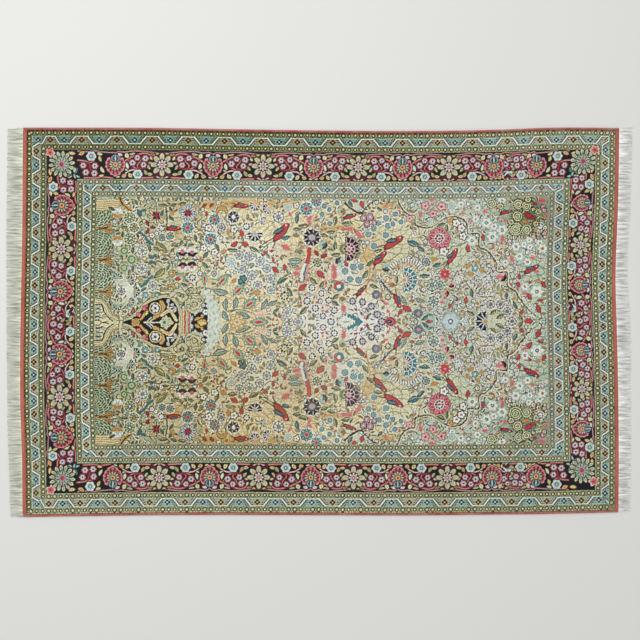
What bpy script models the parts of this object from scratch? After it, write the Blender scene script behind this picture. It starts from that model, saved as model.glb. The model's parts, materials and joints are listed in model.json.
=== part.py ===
"""Kashmir silk rug, laid flat: knotted pile, two overcast selvedges, two woven end bands and two warp fringes.

Metres, +Z up. +X runs along the rug's length and +Y across it, towards the far long side.
The origin is at the middle of the rug's own box, on the surface that it lies on.
"""

import bpy
import numpy as np

MM = 0.001

# Size of the rug without its fringes, selvedges and end bands included
LENGTH = 1527 * MM
WIDTH = 989 * MM

# Heights above the floor
PILE_HEIGHT = 5.0 * MM
SELVEDGE_HEIGHT = 4.8 * MM
BAND_HEIGHT = 2.4 * MM
FRINGE_ROOT_HEIGHT = 1.9 * MM
FRINGE_TIP_HEIGHT = 1.2 * MM

# Widths of the edge pieces, and the gap between two pieces
SELVEDGE_WIDTH = 6.8 * MM
BAND_WIDTH = 10.0 * MM
STRIP_WIDTH = 2.6 * MM
GAP = 0.3 * MM
PILE_EDGE_ROUND = 0.8 * MM

# Locks of warp in each fringe, and how much of its pitch a lock fills at its root and tip
LOCKS = 120
ROOT_FILL = 0.80
TIP_FILL = 0.62
LOCK_STEPS = 2

# Points along the edges that every piece shares, so that neighbours stay parallel
LENGTH_STATIONS = 33
WIDTH_STATIONS = 21

# Each row: place along the edge from 0 to 1, and how far it bows outward there, in mm.
# Long edges run from the left end to the right end.
FAR_EDGE_BOW = (
    # along, bow
    (0.00, 3.8),
    (0.23, 2.8),
    (0.38, -1.0),
    (0.50, -3.6),
    (0.64, -4.9),
    (0.77, -2.8),
    (0.90, 3.8),
    (1.00, 2.8),
)
NEAR_EDGE_BOW = (
    # along, bow
    (0.00, 5.6),
    (0.23, 0.8),
    (0.50, 0.8),
    (0.64, 1.5),
    (0.77, -0.3),
    (0.90, -2.8),
    (1.00, -6.7),
)
# Short edges run from the near side to the far side.
LEFT_EDGE_BOW = (
    # along, bow
    (0.00, -1.8),
    (0.14, -1.0),
    (0.30, 3.8),
    (0.51, 2.8),
    (0.71, -1.0),
    (1.00, -3.1),
)
RIGHT_EDGE_BOW = (
    # along, bow
    (0.00, 2.0),
    (0.17, 2.6),
    (0.30, 1.5),
    (0.51, -3.3),
    (0.58, -5.4),
    (0.82, 1.5),
    (1.00, 4.1),
)
# How long the fringe is along each short edge, in mm, from the near side to the far side
LEFT_FRINGE_LENGTH = (
    # along, length
    (0.00, 33.0),
    (0.14, 37.5),
    (0.30, 36.0),
    (0.51, 38.7),
    (0.71, 43.5),
    (1.00, 42.0),
)
RIGHT_FRINGE_LENGTH = (
    # along, length
    (0.00, 33.3),
    (0.30, 34.8),
    (0.51, 37.9),
    (0.60, 33.8),
    (0.82, 34.3),
    (1.00, 36.6),
)

# Finishes: base colour and roughness
FINISHES = {
    "silk_pile": ((0.47, 0.40, 0.25, 1.0), 0.55),
    "red_overcast": ((0.46, 0.07, 0.06, 1.0), 0.60),
    "red_web": ((0.50, 0.09, 0.07, 1.0), 0.70),
    "warp_fringe": ((0.66, 0.63, 0.53, 1.0), 0.65),
}


def clear_scene():
    for thing in list(bpy.data.objects):
        bpy.data.objects.remove(thing, do_unlink=True)


def finish(name):
    """The named material, made once."""
    material = bpy.data.materials.get(name)
    if material is None:
        colour, roughness = FINISHES[name]
        material = bpy.data.materials.new(name)
        material.use_nodes = True
        shader = material.node_tree.nodes["Principled BSDF"]
        shader.inputs["Base Color"].default_value = colour
        shader.inputs["Roughness"].default_value = roughness
        shader.inputs["Metallic"].default_value = 0.0
    return material


def smooth_curve(table, at):
    """Reads a two-column table at the places `at`, with a smooth curve through its rows.

    Between two rows the value follows the cubic whose slopes at the rows are those of the line
    through the rows on either side.
    """
    place, value = np.array(table, dtype=float).T
    slope = np.gradient(value, place)
    row = np.clip(np.searchsorted(place, at, side="right") - 1, 0, len(place) - 2)
    step = place[row + 1] - place[row]
    u = (at - place[row]) / step
    return (
        (1 + 2 * u) * (1 - u) ** 2 * value[row]
        + u * (1 - u) ** 2 * step * slope[row]
        + u**2 * (3 - 2 * u) * value[row + 1]
        + u**2 * (u - 1) * step * slope[row + 1]
    )


def edge(table, half_size, stations):
    """Places from 0 to 1 along an edge, and how far the edge lies from the rug's middle there, in metres."""
    along = np.linspace(0.0, 1.0, stations)
    return along, half_size + smooth_curve(table, along) * MM


FAR = edge(FAR_EDGE_BOW, WIDTH / 2, LENGTH_STATIONS)
NEAR = edge(NEAR_EDGE_BOW, WIDTH / 2, LENGTH_STATIONS)
LEFT = edge(LEFT_EDGE_BOW, LENGTH / 2, WIDTH_STATIONS)
RIGHT = edge(RIGHT_EDGE_BOW, LENGTH / 2, WIDTH_STATIONS)


def rug_point(along, across, end_inset=0.0, side_inset=0.0):
    """Plan position of the point at `along` (0 left, 1 right) and `across` (0 near, 1 far).

    The four bowed edges, each moved inward by its inset, are blended straight between opposite sides.
    """
    left = -np.interp(across, *LEFT) + end_inset
    right = np.interp(across, *RIGHT) - end_inset
    near = -np.interp(along, *NEAR) + side_inset
    far = np.interp(along, *FAR) - side_inset
    return left + (right - left) * along, near + (far - near) * across


def new_object(name, points, faces, finish_name, smooth=False):
    mesh = bpy.data.meshes.new(name)
    mesh.from_pydata([tuple(p) for p in points], [], faces)
    mesh.validate()
    mesh.materials.append(finish(finish_name))
    if smooth:
        mesh.shade_smooth()
        mesh.set_sharp_from_angle(angle=np.radians(40))
    thing = bpy.data.objects.new(name, mesh)
    bpy.context.collection.objects.link(thing)
    return thing


def rings_to_faces(ring_count, ring_size):
    """Quads between rings of points, and one face over each end. Rings run anticlockwise seen from the last ring."""
    faces = []
    for ring in range(ring_count - 1):
        for i in range(ring_size):
            j = (i + 1) % ring_size
            low, high = ring * ring_size, (ring + 1) * ring_size
            faces.append((low + i, low + j, high + j, high + i))
    last = (ring_count - 1) * ring_size
    faces.append(tuple(reversed(range(ring_size))))
    faces.append(tuple(range(last, last + ring_size)))
    return faces


def knotted_pile():
    """Foundation and pile in one slab: a grid below, the same grid above, and a wall whose top is rounded off."""
    end_inset = BAND_WIDTH + GAP
    side_inset = SELVEDGE_WIDTH + GAP
    columns, rows = LENGTH_STATIONS, WIDTH_STATIONS
    along, across = np.meshgrid(FAR[0], LEFT[0], indexing="ij")

    def layer(height, inset):
        x, y = rug_point(along, across, end_inset + inset, side_inset + inset)
        return np.stack([x, y, np.full_like(x, height)], axis=-1).reshape(-1, 3)

    shoulder = layer(PILE_HEIGHT - PILE_EDGE_ROUND, 0.0)
    bottom, top = layer(0.0, 0.0), layer(PILE_HEIGHT, PILE_EDGE_ROUND)
    rim = (
        [i * rows for i in range(columns)]
        + [(columns - 1) * rows + j for j in range(1, rows)]
        + [i * rows + rows - 1 for i in range(columns - 2, -1, -1)]
        + [j for j in range(rows - 2, 0, -1)]
    )
    points = np.concatenate([bottom, top, shoulder[rim]])
    above, middle = len(bottom), 2 * len(bottom)
    faces = []
    for i in range(columns - 1):
        for j in range(rows - 1):
            a, b, c, d = i * rows + j, (i + 1) * rows + j, (i + 1) * rows + j + 1, i * rows + j + 1
            faces.append((a, d, c, b))
            faces.append((above + a, above + b, above + c, above + d))
    for k in range(len(rim)):
        n = (k + 1) % len(rim)
        faces.append((rim[k], rim[n], middle + n, middle + k))
        faces.append((middle + k, middle + n, above + rim[n], above + rim[k]))
    return new_object("knotted_pile", points, faces, "silk_pile")


def selvedge(name, across):
    """A cord of overcast silk: flat below and round above, carried along one long edge."""
    turn = np.linspace(0.0, np.pi, 7)
    foot = 0.9 * MM
    half = SELVEDGE_WIDTH / 2
    inward = np.concatenate([[foot], half - half * np.cos(turn), [SELVEDGE_WIDTH - foot]])
    height = np.concatenate([[0.0], foot + (SELVEDGE_HEIGHT - foot) * np.sin(turn), [0.0]])
    if across == 1:
        inward, height = inward[::-1], height[::-1]
    rings = []
    for along in FAR[0]:
        x, y = rug_point(along, across)
        side = y + inward if across == 0 else y - inward
        rings.append(np.stack([np.full_like(side, x), side, height], axis=-1))
    faces = rings_to_faces(len(rings), len(inward))
    return new_object(name, np.concatenate(rings), [f[::-1] for f in faces], "red_overcast", smooth=True)


def end_band(name, along):
    """The red web at a short end: a flat strip between the two selvedges, thinner than the pile."""
    inward = 1 if along == 0 else -1
    clear = (SELVEDGE_WIDTH + GAP) / WIDTH
    across = LEFT[0].copy()
    across[0], across[-1] = clear, 1 - clear
    rings = []
    for place in across:
        x, y = rug_point(along, place)
        left, right = sorted((x, x + inward * BAND_WIDTH))
        corners = [(left, 0.0), (right, 0.0), (right, BAND_HEIGHT), (left, BAND_HEIGHT)]
        rings.append(np.array([(cx, y, cz) for cx, cz in corners]))
    faces = rings_to_faces(len(rings), 4)
    return new_object(name, np.concatenate(rings), [f[::-1] for f in faces], "red_web")


def fringe(name, along, lengths):
    """Locks of warp that leave a narrow weft strip side by side, lean a little and lie flat on the floor.

    Lock k fills ROOT_FILL of its share of the edge at the root and TIP_FILL at the tip. Its tip is
    moved sideways by two slow waves, so that neighbours lean together and never cross.
    """
    outward = -1 if along == 0 else 1
    lock = np.arange(LOCKS)
    pitch = 1.0 / LOCKS
    middle = (lock + 0.5) * pitch
    length = smooth_curve(lengths, middle) * MM - GAP - STRIP_WIDTH
    length *= 1.0 - 0.05 * np.abs(np.sin(lock * 2.4))
    lean = 1.6 * MM * np.sin(lock * 0.31 + along) + 1.1 * MM * np.sin(lock * 0.83 + 2 * along)

    def edge_point(place, out):
        x, y = rug_point(along, place)
        return x + outward * (GAP + out), y

    # One row of points for each side of each lock's root, near to far
    sides = np.sort(np.concatenate([middle - ROOT_FILL * pitch / 2, middle + ROOT_FILL * pitch / 2]))
    points = []
    for out, height in ((0.0, 0.0), (STRIP_WIDTH, 0.0), (STRIP_WIDTH, FRINGE_ROOT_HEIGHT), (0.0, FRINGE_ROOT_HEIGHT)):
        x, y = edge_point(sides, out)
        points.append(np.stack([x, y, np.full_like(x, height)], axis=-1))
    count = len(sides)
    inner_low, outer_low, outer_high, inner_high = 0, count, 2 * count, 3 * count
    faces = []
    for i in range(count - 1):
        faces.append((inner_low + i, inner_low + i + 1, outer_low + i + 1, outer_low + i))
        faces.append((outer_high + i, outer_high + i + 1, inner_high + i + 1, inner_high + i))
        faces.append((inner_high + i, inner_high + i + 1, inner_low + i + 1, inner_low + i))
        if i % 2 == 1:
            faces.append((outer_low + i, outer_low + i + 1, outer_high + i + 1, outer_high + i))
    end = count - 1
    faces.append((inner_low, outer_low, outer_high, inner_high))
    faces.append((inner_low + end, inner_high + end, outer_high + end, outer_low + end))

    # Each lock: rings of four points, near low, far low, far high, near high
    base = 4 * count
    for k in lock:
        near_root, far_root = 2 * k, 2 * k + 1
        previous = (outer_low + near_root, outer_low + far_root, outer_high + far_root, outer_high + near_root)
        for step in range(1, LOCK_STEPS + 1):
            share = step / LOCK_STEPS
            x, y = edge_point(middle[k], STRIP_WIDTH + length[k] * share)
            y += lean[k] * share**2
            half = (ROOT_FILL + (TIP_FILL - ROOT_FILL) * share) * pitch * WIDTH / 2
            height = FRINGE_ROOT_HEIGHT + (FRINGE_TIP_HEIGHT - FRINGE_ROOT_HEIGHT) * share
            ring = [(x, y - half, 0.0), (x, y + half, 0.0), (x, y + half, height), (x, y - half, height)]
            points.append(np.array(ring))
            current = tuple(range(base, base + 4))
            for i in range(4):
                j = (i + 1) % 4
                faces.append((previous[i], previous[j], current[j], current[i]))
            previous, base = current, base + 4
        faces.append(previous)
    if outward == -1:
        faces = [f[::-1] for f in faces]
    return new_object(name, np.concatenate(points), faces, "warp_fringe")


def centre_on_box(things):
    """Moves every mesh so that the rug's box is centred over the origin."""
    corners = np.concatenate([[v.co[:] for v in thing.data.vertices] for thing in things])
    middle = (corners.min(axis=0) + corners.max(axis=0)) / 2
    for thing in things:
        for vertex in thing.data.vertices:
            vertex.co.x -= middle[0]
            vertex.co.y -= middle[1]


def main():
    clear_scene()
    things = [
        knotted_pile(),
        selvedge("selvedge_far", across=1),
        selvedge("selvedge_near", across=0),
        end_band("end_band_left", along=0),
        end_band("end_band_right", along=1),
        fringe("fringe_left", 0, LEFT_FRINGE_LENGTH),
        fringe("fringe_right", 1, RIGHT_FRINGE_LENGTH),
    ]
    centre_on_box(things)


main()
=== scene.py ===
"""Dresses a hand-knotted Kashmir silk rug: its knot chart, pile, back, edge cords, end webs and fringes.

The design is worked out as a knot chart. One chart unit is CHART_UNIT on the rug, x runs along the
rug and y from its far side to its near side, with 0, 0 off the far left corner.
"""

import json
from typing import NamedTuple

import bpy
import numpy as np
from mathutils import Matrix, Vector

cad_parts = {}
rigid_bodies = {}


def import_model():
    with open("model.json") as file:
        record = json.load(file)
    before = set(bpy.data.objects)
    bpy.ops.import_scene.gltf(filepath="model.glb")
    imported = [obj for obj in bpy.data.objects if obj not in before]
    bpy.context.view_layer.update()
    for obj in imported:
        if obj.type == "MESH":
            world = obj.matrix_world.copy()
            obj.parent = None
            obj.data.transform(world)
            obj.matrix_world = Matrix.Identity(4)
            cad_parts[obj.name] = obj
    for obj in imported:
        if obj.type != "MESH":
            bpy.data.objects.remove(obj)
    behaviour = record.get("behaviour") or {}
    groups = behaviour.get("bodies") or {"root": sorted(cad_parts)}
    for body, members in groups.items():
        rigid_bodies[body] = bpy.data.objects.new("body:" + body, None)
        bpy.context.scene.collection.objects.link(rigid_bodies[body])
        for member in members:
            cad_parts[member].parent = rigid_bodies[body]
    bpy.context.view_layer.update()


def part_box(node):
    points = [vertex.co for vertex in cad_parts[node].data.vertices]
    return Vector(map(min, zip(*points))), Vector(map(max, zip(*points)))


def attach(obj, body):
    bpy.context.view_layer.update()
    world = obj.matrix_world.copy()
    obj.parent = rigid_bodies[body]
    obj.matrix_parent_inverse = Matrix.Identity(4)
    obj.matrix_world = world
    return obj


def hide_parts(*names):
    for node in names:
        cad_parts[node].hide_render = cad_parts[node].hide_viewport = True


bl_info = {
    "name": "Kashmir Silk Rug",
    "version": (1, 0, 0),
    "blender": (4, 5, 0),
    "location": "View3D > Sidebar > Rug",
    "description": "Knots, binds and fringes a silk rug with a vase and tree design",
    "category": "Add Mesh",
}

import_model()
MM = 0.001

# Size of the rug without its fringes, and the height of each piece above the floor
LENGTH = 1527 * MM
WIDTH = 989 * MM
PILE_TOP = 5.0 * MM
BACK_LEVEL = 0.3 * MM
SELVEDGE_WIDTH = 6.8 * MM
SELVEDGE_TOP = 4.8 * MM
WEB_WIDTH = 10.0 * MM
WEB_TOP = 2.4 * MM
GAP = 0.3 * MM

# Side of the photograph in pixels, each of which is one chart unit
PHOTO_SIZE = 640

# The chart: its unit on the rug, and the straight rug's four edges in chart units
CHART_UNIT = 2.56 * MM
CHART_LEFT = 21.5
CHART_FAR = 128.8
CHART_LONG = LENGTH / CHART_UNIT
CHART_WIDE = WIDTH / CHART_UNIT

# Each row: place along the edge from 0 to 1, and how far it bows outward there, in mm
FAR_EDGE_BOW = (
    # along, bow
    (0.00, 3.8),
    (0.23, 2.8),
    (0.38, -1.0),
    (0.50, -3.6),
    (0.64, -4.9),
    (0.77, -2.8),
    (0.90, 3.8),
    (1.00, 2.8),
)
NEAR_EDGE_BOW = (
    # along, bow
    (0.00, 5.6),
    (0.23, 0.8),
    (0.50, 0.8),
    (0.64, 1.5),
    (0.77, -0.3),
    (0.90, -2.8),
    (1.00, -6.7),
)
LEFT_EDGE_BOW = (
    # along, bow
    (0.00, -1.8),
    (0.14, -1.0),
    (0.30, 3.8),
    (0.51, 2.8),
    (0.71, -1.0),
    (1.00, -3.1),
)
RIGHT_EDGE_BOW = (
    # along, bow
    (0.00, 2.0),
    (0.17, 2.6),
    (0.30, 1.5),
    (0.51, -3.3),
    (0.58, -5.4),
    (0.82, 1.5),
    (1.00, 4.1),
)

# Size of one cell of the pile's grid, and the seeds of the random stray in knots and fillers
KNOT_PITCH = 2.0 * MM
CHART_SEED = 11
FILLER_SEED = 7
PILE_SEED = 3
FRINGE_SEED = 5

# Stripes round the rug from its edge inward: where each ends, in chart units from that side's edge
STRIPES = (
    # name, far, near, left, right
    ("bound edge", 2.4, 3.0, 3.6, 4.4),
    ("small stripe", 8.2, 8.9, 9.7, 10.0),
    ("guard", 16.5, 17.2, 17.9, 17.6),
    ("small stripe", 22.2, 23.2, 24.0, 23.8),
    ("main border", 51.4, 52.6, 55.0, 48.8),
    ("small stripe", 56.7, 58.9, 60.8, 55.0),
    ("guard", 63.1, 65.2, 68.9, 63.5),
    ("small stripe", 68.9, 71.2, 74.2, 69.7),
)
SIDES = ("far", "near", "left", "right")
SMALL_STRIPE_PITCH = {"far": 6.0, "near": 6.0, "left": 5.0, "right": 5.0}

# Where the guards' rosettes stand along each side: chart place and number, even ones blue and odd ones gold.
# The knotter's count drifts, so that they are not evenly spaced.
OUTER_ROSETTES = {
    "far": (
        (37, 0), (49, 1), (63, 2), (98, 4), (151, 7), (205, 10), (260, 13), (314, 16), (506, 27), (555, 30),
        (606, 33),
    ),
    "near": (
        (36, 0), (48, 1), (62, 2), (97, 4), (149, 7), (202, 10), (311, 16), (373, 19), (444, 23), (511, 27),
        (598, 32),
    ),
    "left": ((139, 0), (233, 7), (298.6, 12), (374, 18), (504, 28)),
    "right": (
        (138, 1), (217, 7), (278, 12), (309, 15), (338, 18), (354, 19), (380, 21), (402, 23), (509, 31),
    ),
}
INNER_ROSETTES = {
    "far": ((85, 0), (119, 2), (152, 4), (188, 6), (260, 10), (443, 21), (524, 26), (558, 28)),
    "near": (
        (86, 0), (116, 2), (149, 4), (186, 6), (223, 8), (292, 12), (360, 16), (391, 18), (444, 21),
        (557, 28),
    ),
    "left": ((200, 0), (213, 1), (240, 3), (291, 7), (318, 9), (404, 16), (444, 19)),
    "right": ((198, 0), (223, 2), (323, 10), (350, 12), (399, 16), (449, 20)),
}

# How each side is darker, partly by uneven dye and partly by painted shade of the pile's sheen: place on the
# chart and tone, for the stripes outside the main border, for the border itself and for the stripes inside
# it. A middle tone is darkened by just that share, and white less.
MIDDLE_TONE = 0.4
OUTER_DYE_AND_SHADE = {
    "far": ((30, 0.44), (180, 0.44), (330, 0.53), (480, 0.76), (610, 0.86)),
    "near": ((30, 0.8), (330, 0.79), (610, 0.76)),
    "left": ((135, 0.54), (300, 0.66), (500, 0.72)),
    "right": ((135, 0.81), (500, 0.79)),
}
BORDER_DYE_AND_SHADE = {"far": ((30, 0.9),), "near": ((30, 0.88),), "left": ((135, 0.8),), "right": ((135, 0.92),)}
INNER_DYE_AND_SHADE = {
    "far": (
        (70, 0.78), (118, 0.6), (132, 0.84), (145, 0.66), (160, 0.8), (180, 0.68), (210, 0.7), (250, 0.9),
    ),
    "near": ((70, 0.76), (560, 0.8)),
    "left": ((190, 0.72), (300, 0.8), (450, 0.78)),
    "right": ((190, 0.84), (450, 0.82)),
}
# Share of pale blue in the inner stripes of each side
INNER_PALENESS = {"far": 0.16, "near": 0.06, "left": 0.0, "right": 0.05}

# Dyes of the silk, as sRGB hex
DYES = {
    "black": "1D1A24",
    "bark": "43331A",
    "cloud": "C9D6DA",
    "navy": "22304C",
    "ink": "2A3344",
    "teal": "4F888C",
    "aqua": "93B9B2",
    "mist": "B9CDBE",
    "white": "E9EADB",
    "cream": "DDD4AE",
    "straw": "D9CC8C",
    "gold": "C8A05C",
    "amber": "AD7A3C",
    "brown": "5B4023",
    "olive": "6E7348",
    "khaki": "9DA27C",
    "moss": "7E8C5A",
    "green": "6E9B78",
    "celadon": "C3CCA4",
    "pink": "D6909A",
    "rose": "E3B4B4",
    "crimson": "A63F4D",
    "wine": "6B2234",
    "red": "C2504D",
    "coral": "D27C73",
    "grey": "9AA3A0",
    "lilac": "B3AEB6",
    "slate": "66808A",
    "sand": "E2D0A4",
    "peach": "D8AE84",
    "ground": "EFDDB2",
    "beige": "CFCBA6",
    "fern": "3F6450",
    "ochre": "C4A468",
    "salmon": "BE7B76",
    "mauve": "BC949A",
    "reed": "4C5236",
    "fawn": "B7B7A1",
    "flax": "BBB999",
    "thyme": "7C9680",
    "sage": "A3B8A6",
    "brick": "B25A55",
}


def linear(code):
    """Scene-linear red, green and blue of an sRGB hex colour."""
    value = np.array([int(code[i : i + 2], 16) for i in (0, 2, 4)]) / 255.0
    return np.where(value <= 0.04045, value / 12.92, ((value + 0.055) / 1.055) ** 2.4)


DYE = {name: linear(code) for name, code in DYES.items()}


# Plan of the rug


def smooth_curve(table, at):
    """A two-column table read at given places: between rows, the cubic with the slopes of its neighbours."""
    place, value = np.array(table, dtype=float).T
    slope = np.gradient(value, place)
    row = np.clip(np.searchsorted(place, at, side="right") - 1, 0, len(place) - 2)
    step = place[row + 1] - place[row]
    u = (at - place[row]) / step
    return (
        (1 + 2 * u) * (1 - u) ** 2 * value[row]
        + u * (1 - u) ** 2 * step * slope[row]
        + u**2 * (3 - 2 * u) * value[row + 1]
        + u**2 * (u - 1) * step * slope[row + 1]
    )


def rug_plan(along, across):
    """Plan position, in metres from the nominal rectangle's middle, at shares of the length and width.

    x goes straight from the bowed left edge to the right one, and y from the near edge to the far one.
    """
    left = -LENGTH / 2 - smooth_curve(LEFT_EDGE_BOW, across) * MM
    right = LENGTH / 2 + smooth_curve(RIGHT_EDGE_BOW, across) * MM
    near = -WIDTH / 2 - smooth_curve(NEAR_EDGE_BOW, along) * MM
    far = WIDTH / 2 + smooth_curve(FAR_EDGE_BOW, along) * MM
    return left + (right - left) * along, near + (far - near) * across


def plan_shift():
    """How far the model's frame lies from the plan's, from the box of the knotted pile in the CAD."""
    share = np.linspace(0.0, 1.0, 400)
    inset_x, inset_y = WEB_WIDTH + GAP, SELVEDGE_WIDTH + GAP
    low_x = (rug_plan(0.0 * share, share)[0] + inset_x).min()
    high_x = (rug_plan(0.0 * share + 1, share)[0] - inset_x).max()
    low_y = (rug_plan(share, 0.0 * share)[1] + inset_y).min()
    high_y = (rug_plan(share, 0.0 * share + 1)[1] - inset_y).max()
    low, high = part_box("knotted_pile")
    return (low[0] + high[0] - low_x - high_x) / 2, (low[1] + high[1] - low_y - high_y) / 2


SHIFT_X, SHIFT_Y = plan_shift()


def chart_to_shares(x, y):
    """Shares of the rug's length and width at a place on the straight chart."""
    return (x - CHART_LEFT) / CHART_LONG, 1.0 - (y - CHART_FAR) / CHART_WIDE


# The knot chart


def lattice_noise(numbers, shape, cell):
    """Random values from -1 to 1 on a lattice of points `cell` samples apart, read straight between them."""
    coarse = numbers.uniform(-1.0, 1.0, [size // cell + 2 for size in shape])
    for size in shape:
        place = np.arange(size) / cell
        low = place.astype(int)
        part = (place - low)[:, None]
        coarse = (coarse[low] * (1.0 - part) + coarse[low + 1] * part).T
    return coarse


class Axis(NamedTuple):
    """Where a motif stands on the chart: its place, the turn of its first axis, and 1 or -1 for its hand."""

    x: float
    y: float
    turn: float = 0.0
    hand: int = 1

    def at(self, a, c=0.0, turn=0.0):
        """The axis moved by a along itself and c across, then turned, in degrees."""
        t = np.radians(self.turn)
        x = self.x + a * np.cos(t) - c * self.hand * np.sin(t)
        y = self.y + a * np.sin(t) + c * self.hand * np.cos(t)
        return Axis(x, y, self.turn + self.hand * turn, self.hand)

    def reversed(self):
        """The mirror image of the axis, facing the other way along the same line."""
        return Axis(self.x, self.y, self.turn + 180.0, -self.hand)


class Chart:
    """Colour samples on a straight grid. Motifs are dyed into small windows of it.

    Straight places follow the stripes, and drawn places have the rug's bowed outline taken into account.
    Both stray a little from knot to knot, as hand-knotted lines do.
    """

    def __init__(self, x, y):
        self.line_x, self.line_y = x, y
        self.x, self.y = np.meshgrid(x, y)
        along, across = chart_to_shares(self.x, self.y)
        plan_x, plan_y = rug_plan(along, across)
        numbers = np.random.default_rng(CHART_SEED)
        knot = max(1, round(KNOT_PITCH / CHART_UNIT / (x[2] - x[0]) * 2))
        stray = [0.42 * lattice_noise(numbers, self.x.shape, knot) for _ in range(2)]
        stray = [s + 0.42 * lattice_noise(numbers, self.x.shape, 3 * knot) for s in stray]
        self.drawn_x = CHART_LEFT + CHART_LONG / 2 + plan_x / CHART_UNIT + stray[0]
        self.drawn_y = CHART_FAR + CHART_WIDE / 2 - plan_y / CHART_UNIT + stray[1]
        self.x, self.y = self.x + 0.45 * stray[0], self.y + 0.45 * stray[1]
        self.colour = np.zeros(self.x.shape + (3,))
        self.straight = True

    def window(self, low_x, high_x, low_y, high_y):
        """The slices of the grid that cover a box of chart places."""
        slack = 0.5 if self.straight else 3.5
        columns = np.searchsorted(self.line_x, (low_x - slack, high_x + slack))
        rows = np.searchsorted(self.line_y, (low_y - slack, high_y + slack))
        where = slice(*rows), slice(*columns)
        if self.straight:
            return where, self.x[where], self.y[where]
        return where, self.drawn_x[where], self.drawn_y[where]

    def near(self, axis, reach):
        """The window round an axis, with each sample's place along the axis and across it."""
        where, x, y = self.window(axis.x - reach, axis.x + reach, axis.y - reach, axis.y + reach)
        t = np.radians(axis.turn)
        dx, dy = x - axis.x, y - axis.y
        return where, dx * np.cos(t) + dy * np.sin(t), axis.hand * (dy * np.cos(t) - dx * np.sin(t))

    def blend(self, where, colour, share):
        """Blends a dye in by a share for each sample of a window."""
        self.colour[where] += (DYE[colour] - self.colour[where]) * np.asarray(share)[..., None]

    def darken(self, where, tone):
        """Darkens samples by a power under which a middle grey is left with the share `tone` of its light."""
        self.colour[where] **= 1.0 + np.log(tone)[..., None] / np.log(MIDDLE_TONE)

    def dye(self, where, distance, colour, soft=0.7, strength=1.0):
        """Blends a dye in where a signed distance is negative, over an edge `soft` units wide."""
        self.blend(where, colour, np.clip(0.5 - distance / soft, 0.0, 1.0) * strength)


def disc(a, c, radius):
    """Distance from a circle."""
    return np.hypot(a, c) - radius


def bloom(a, c, radius, lobes, depth, phase=0.0):
    """Distance from a lobed round: its radius swells and shrinks `lobes` times by the share `depth`."""
    swell = np.cos(lobes * np.arctan2(c, a) + np.radians(phase))
    return np.hypot(a, c) - radius * (1.0 + depth * swell)


def leaf_shape(a, c, half_length, half_width, bend=0.0):
    """Distance from a pointed leaf: its width falls off as 1 minus the square of the place along it."""
    share = 1.0 - (a / half_length) ** 2
    return (np.abs(c - bend * share) - half_width * share) / (1.0 + half_width / half_length)


def diamond(a, c, half_length, half_width):
    """Distance from a rhombus."""
    slope = half_length * half_width / np.hypot(half_length, half_width)
    return (np.abs(a) / half_length + np.abs(c) / half_width - 1.0) * slope


def curve_points(points, steps=6):
    """Points along a smooth curve through the given ones, by Catmull and Rom's rule."""
    p = np.array(points, dtype=float)
    p = np.concatenate([[2 * p[0] - p[1]], p, [2 * p[-1] - p[-2]]])
    u = np.linspace(0.0, 1.0, steps, endpoint=False)[:, None, None]
    a, b, c, d = p[:-3], p[1:-2], p[2:-1], p[3:]
    spline = 0.5 * (2 * b + (c - a) * u + (2 * a - 5 * b + 4 * c - d) * u**2 + (3 * b - a - 3 * c + d) * u**3)
    return np.concatenate([spline.transpose(1, 0, 2).reshape(-1, 2), p[-2:-1]])


def line_distance(x, y, line):
    """Distance from a polyline, and the place along it from 0 to 1 of the nearest point."""
    best = np.full(x.shape, 1e9)
    place = np.zeros(x.shape)
    for i in range(len(line) - 1):
        (x0, y0), (x1, y1) = line[i], line[i + 1]
        length = (x1 - x0) ** 2 + (y1 - y0) ** 2 + 1e-12
        u = np.clip(((x - x0) * (x1 - x0) + (y - y0) * (y1 - y0)) / length, 0.0, 1.0)
        away = np.hypot(x - x0 - u * (x1 - x0), y - y0 - u * (y1 - y0))
        closer = away < best
        best = np.where(closer, away, best)
        place = np.where(closer, (i + u) / (len(line) - 1), place)
    return best, place


def vine(chart, axis, points, colour, width=0.8, edge=None, edge_width=0.5, taper=0.0):
    """A curved line through places given along and across the axis, with a darker edge if one is named."""
    line = np.array([axis.at(a, c)[:2] for a, c in curve_points(points)])
    reach = width + edge_width + 1.0
    low, high = line.min(axis=0) - reach, line.max(axis=0) + reach
    where, x, y = chart.window(low[0], high[0], low[1], high[1])
    away, place = line_distance(x, y, line)
    half = width / 2 * (1.0 - taper * place)
    if edge:
        chart.dye(where, away - half - edge_width, edge)
    chart.dye(where, away - half, colour)


# Motifs


def floret(chart, axis, radius=3.1, petals="mauve", heart="cloud", eye="ink", rim="wine", lobes=6):
    """A small flower: dark rim, lobed petals, pale heart and dark eye."""
    where, a, c = chart.near(axis, radius + 2.5)
    chart.dye(where, bloom(a, c, radius + 1.1, lobes, 0.05), rim, 1.0)
    chart.dye(where, bloom(a, c, radius, lobes, 0.08), petals)
    chart.dye(where, bloom(a, c, radius * 0.62, lobes, 0.14), heart, strength=0.75)
    chart.dye(where, disc(a, c, radius * 0.33), eye)


def pale_flower(chart, axis, radius=4.5, petals="mist", ring="fern", eye="teal"):
    """A round pale flower of six petals with a dark ring about its eye."""
    where, a, c = chart.near(axis, radius + 1.5)
    chart.dye(where, bloom(a, c, radius + 0.6, 6, 0.04), "black")
    chart.dye(where, bloom(a, c, radius, 6, 0.07), "cloud")
    chart.dye(where, bloom(a, c, radius * 0.78, 6, 0.1), petals)
    chart.dye(where, np.maximum(-spokes(a, c, 6, 0.5, 30.0), disc(a, c, radius * 0.9)), "grey", strength=0.6)
    chart.dye(where, bloom(a, c, radius * 0.42, 6, 0.12), ring)
    chart.dye(where, disc(a, c, radius * 0.24), "cloud")
    chart.dye(where, disc(a, c, radius * 0.1), eye)


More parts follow.
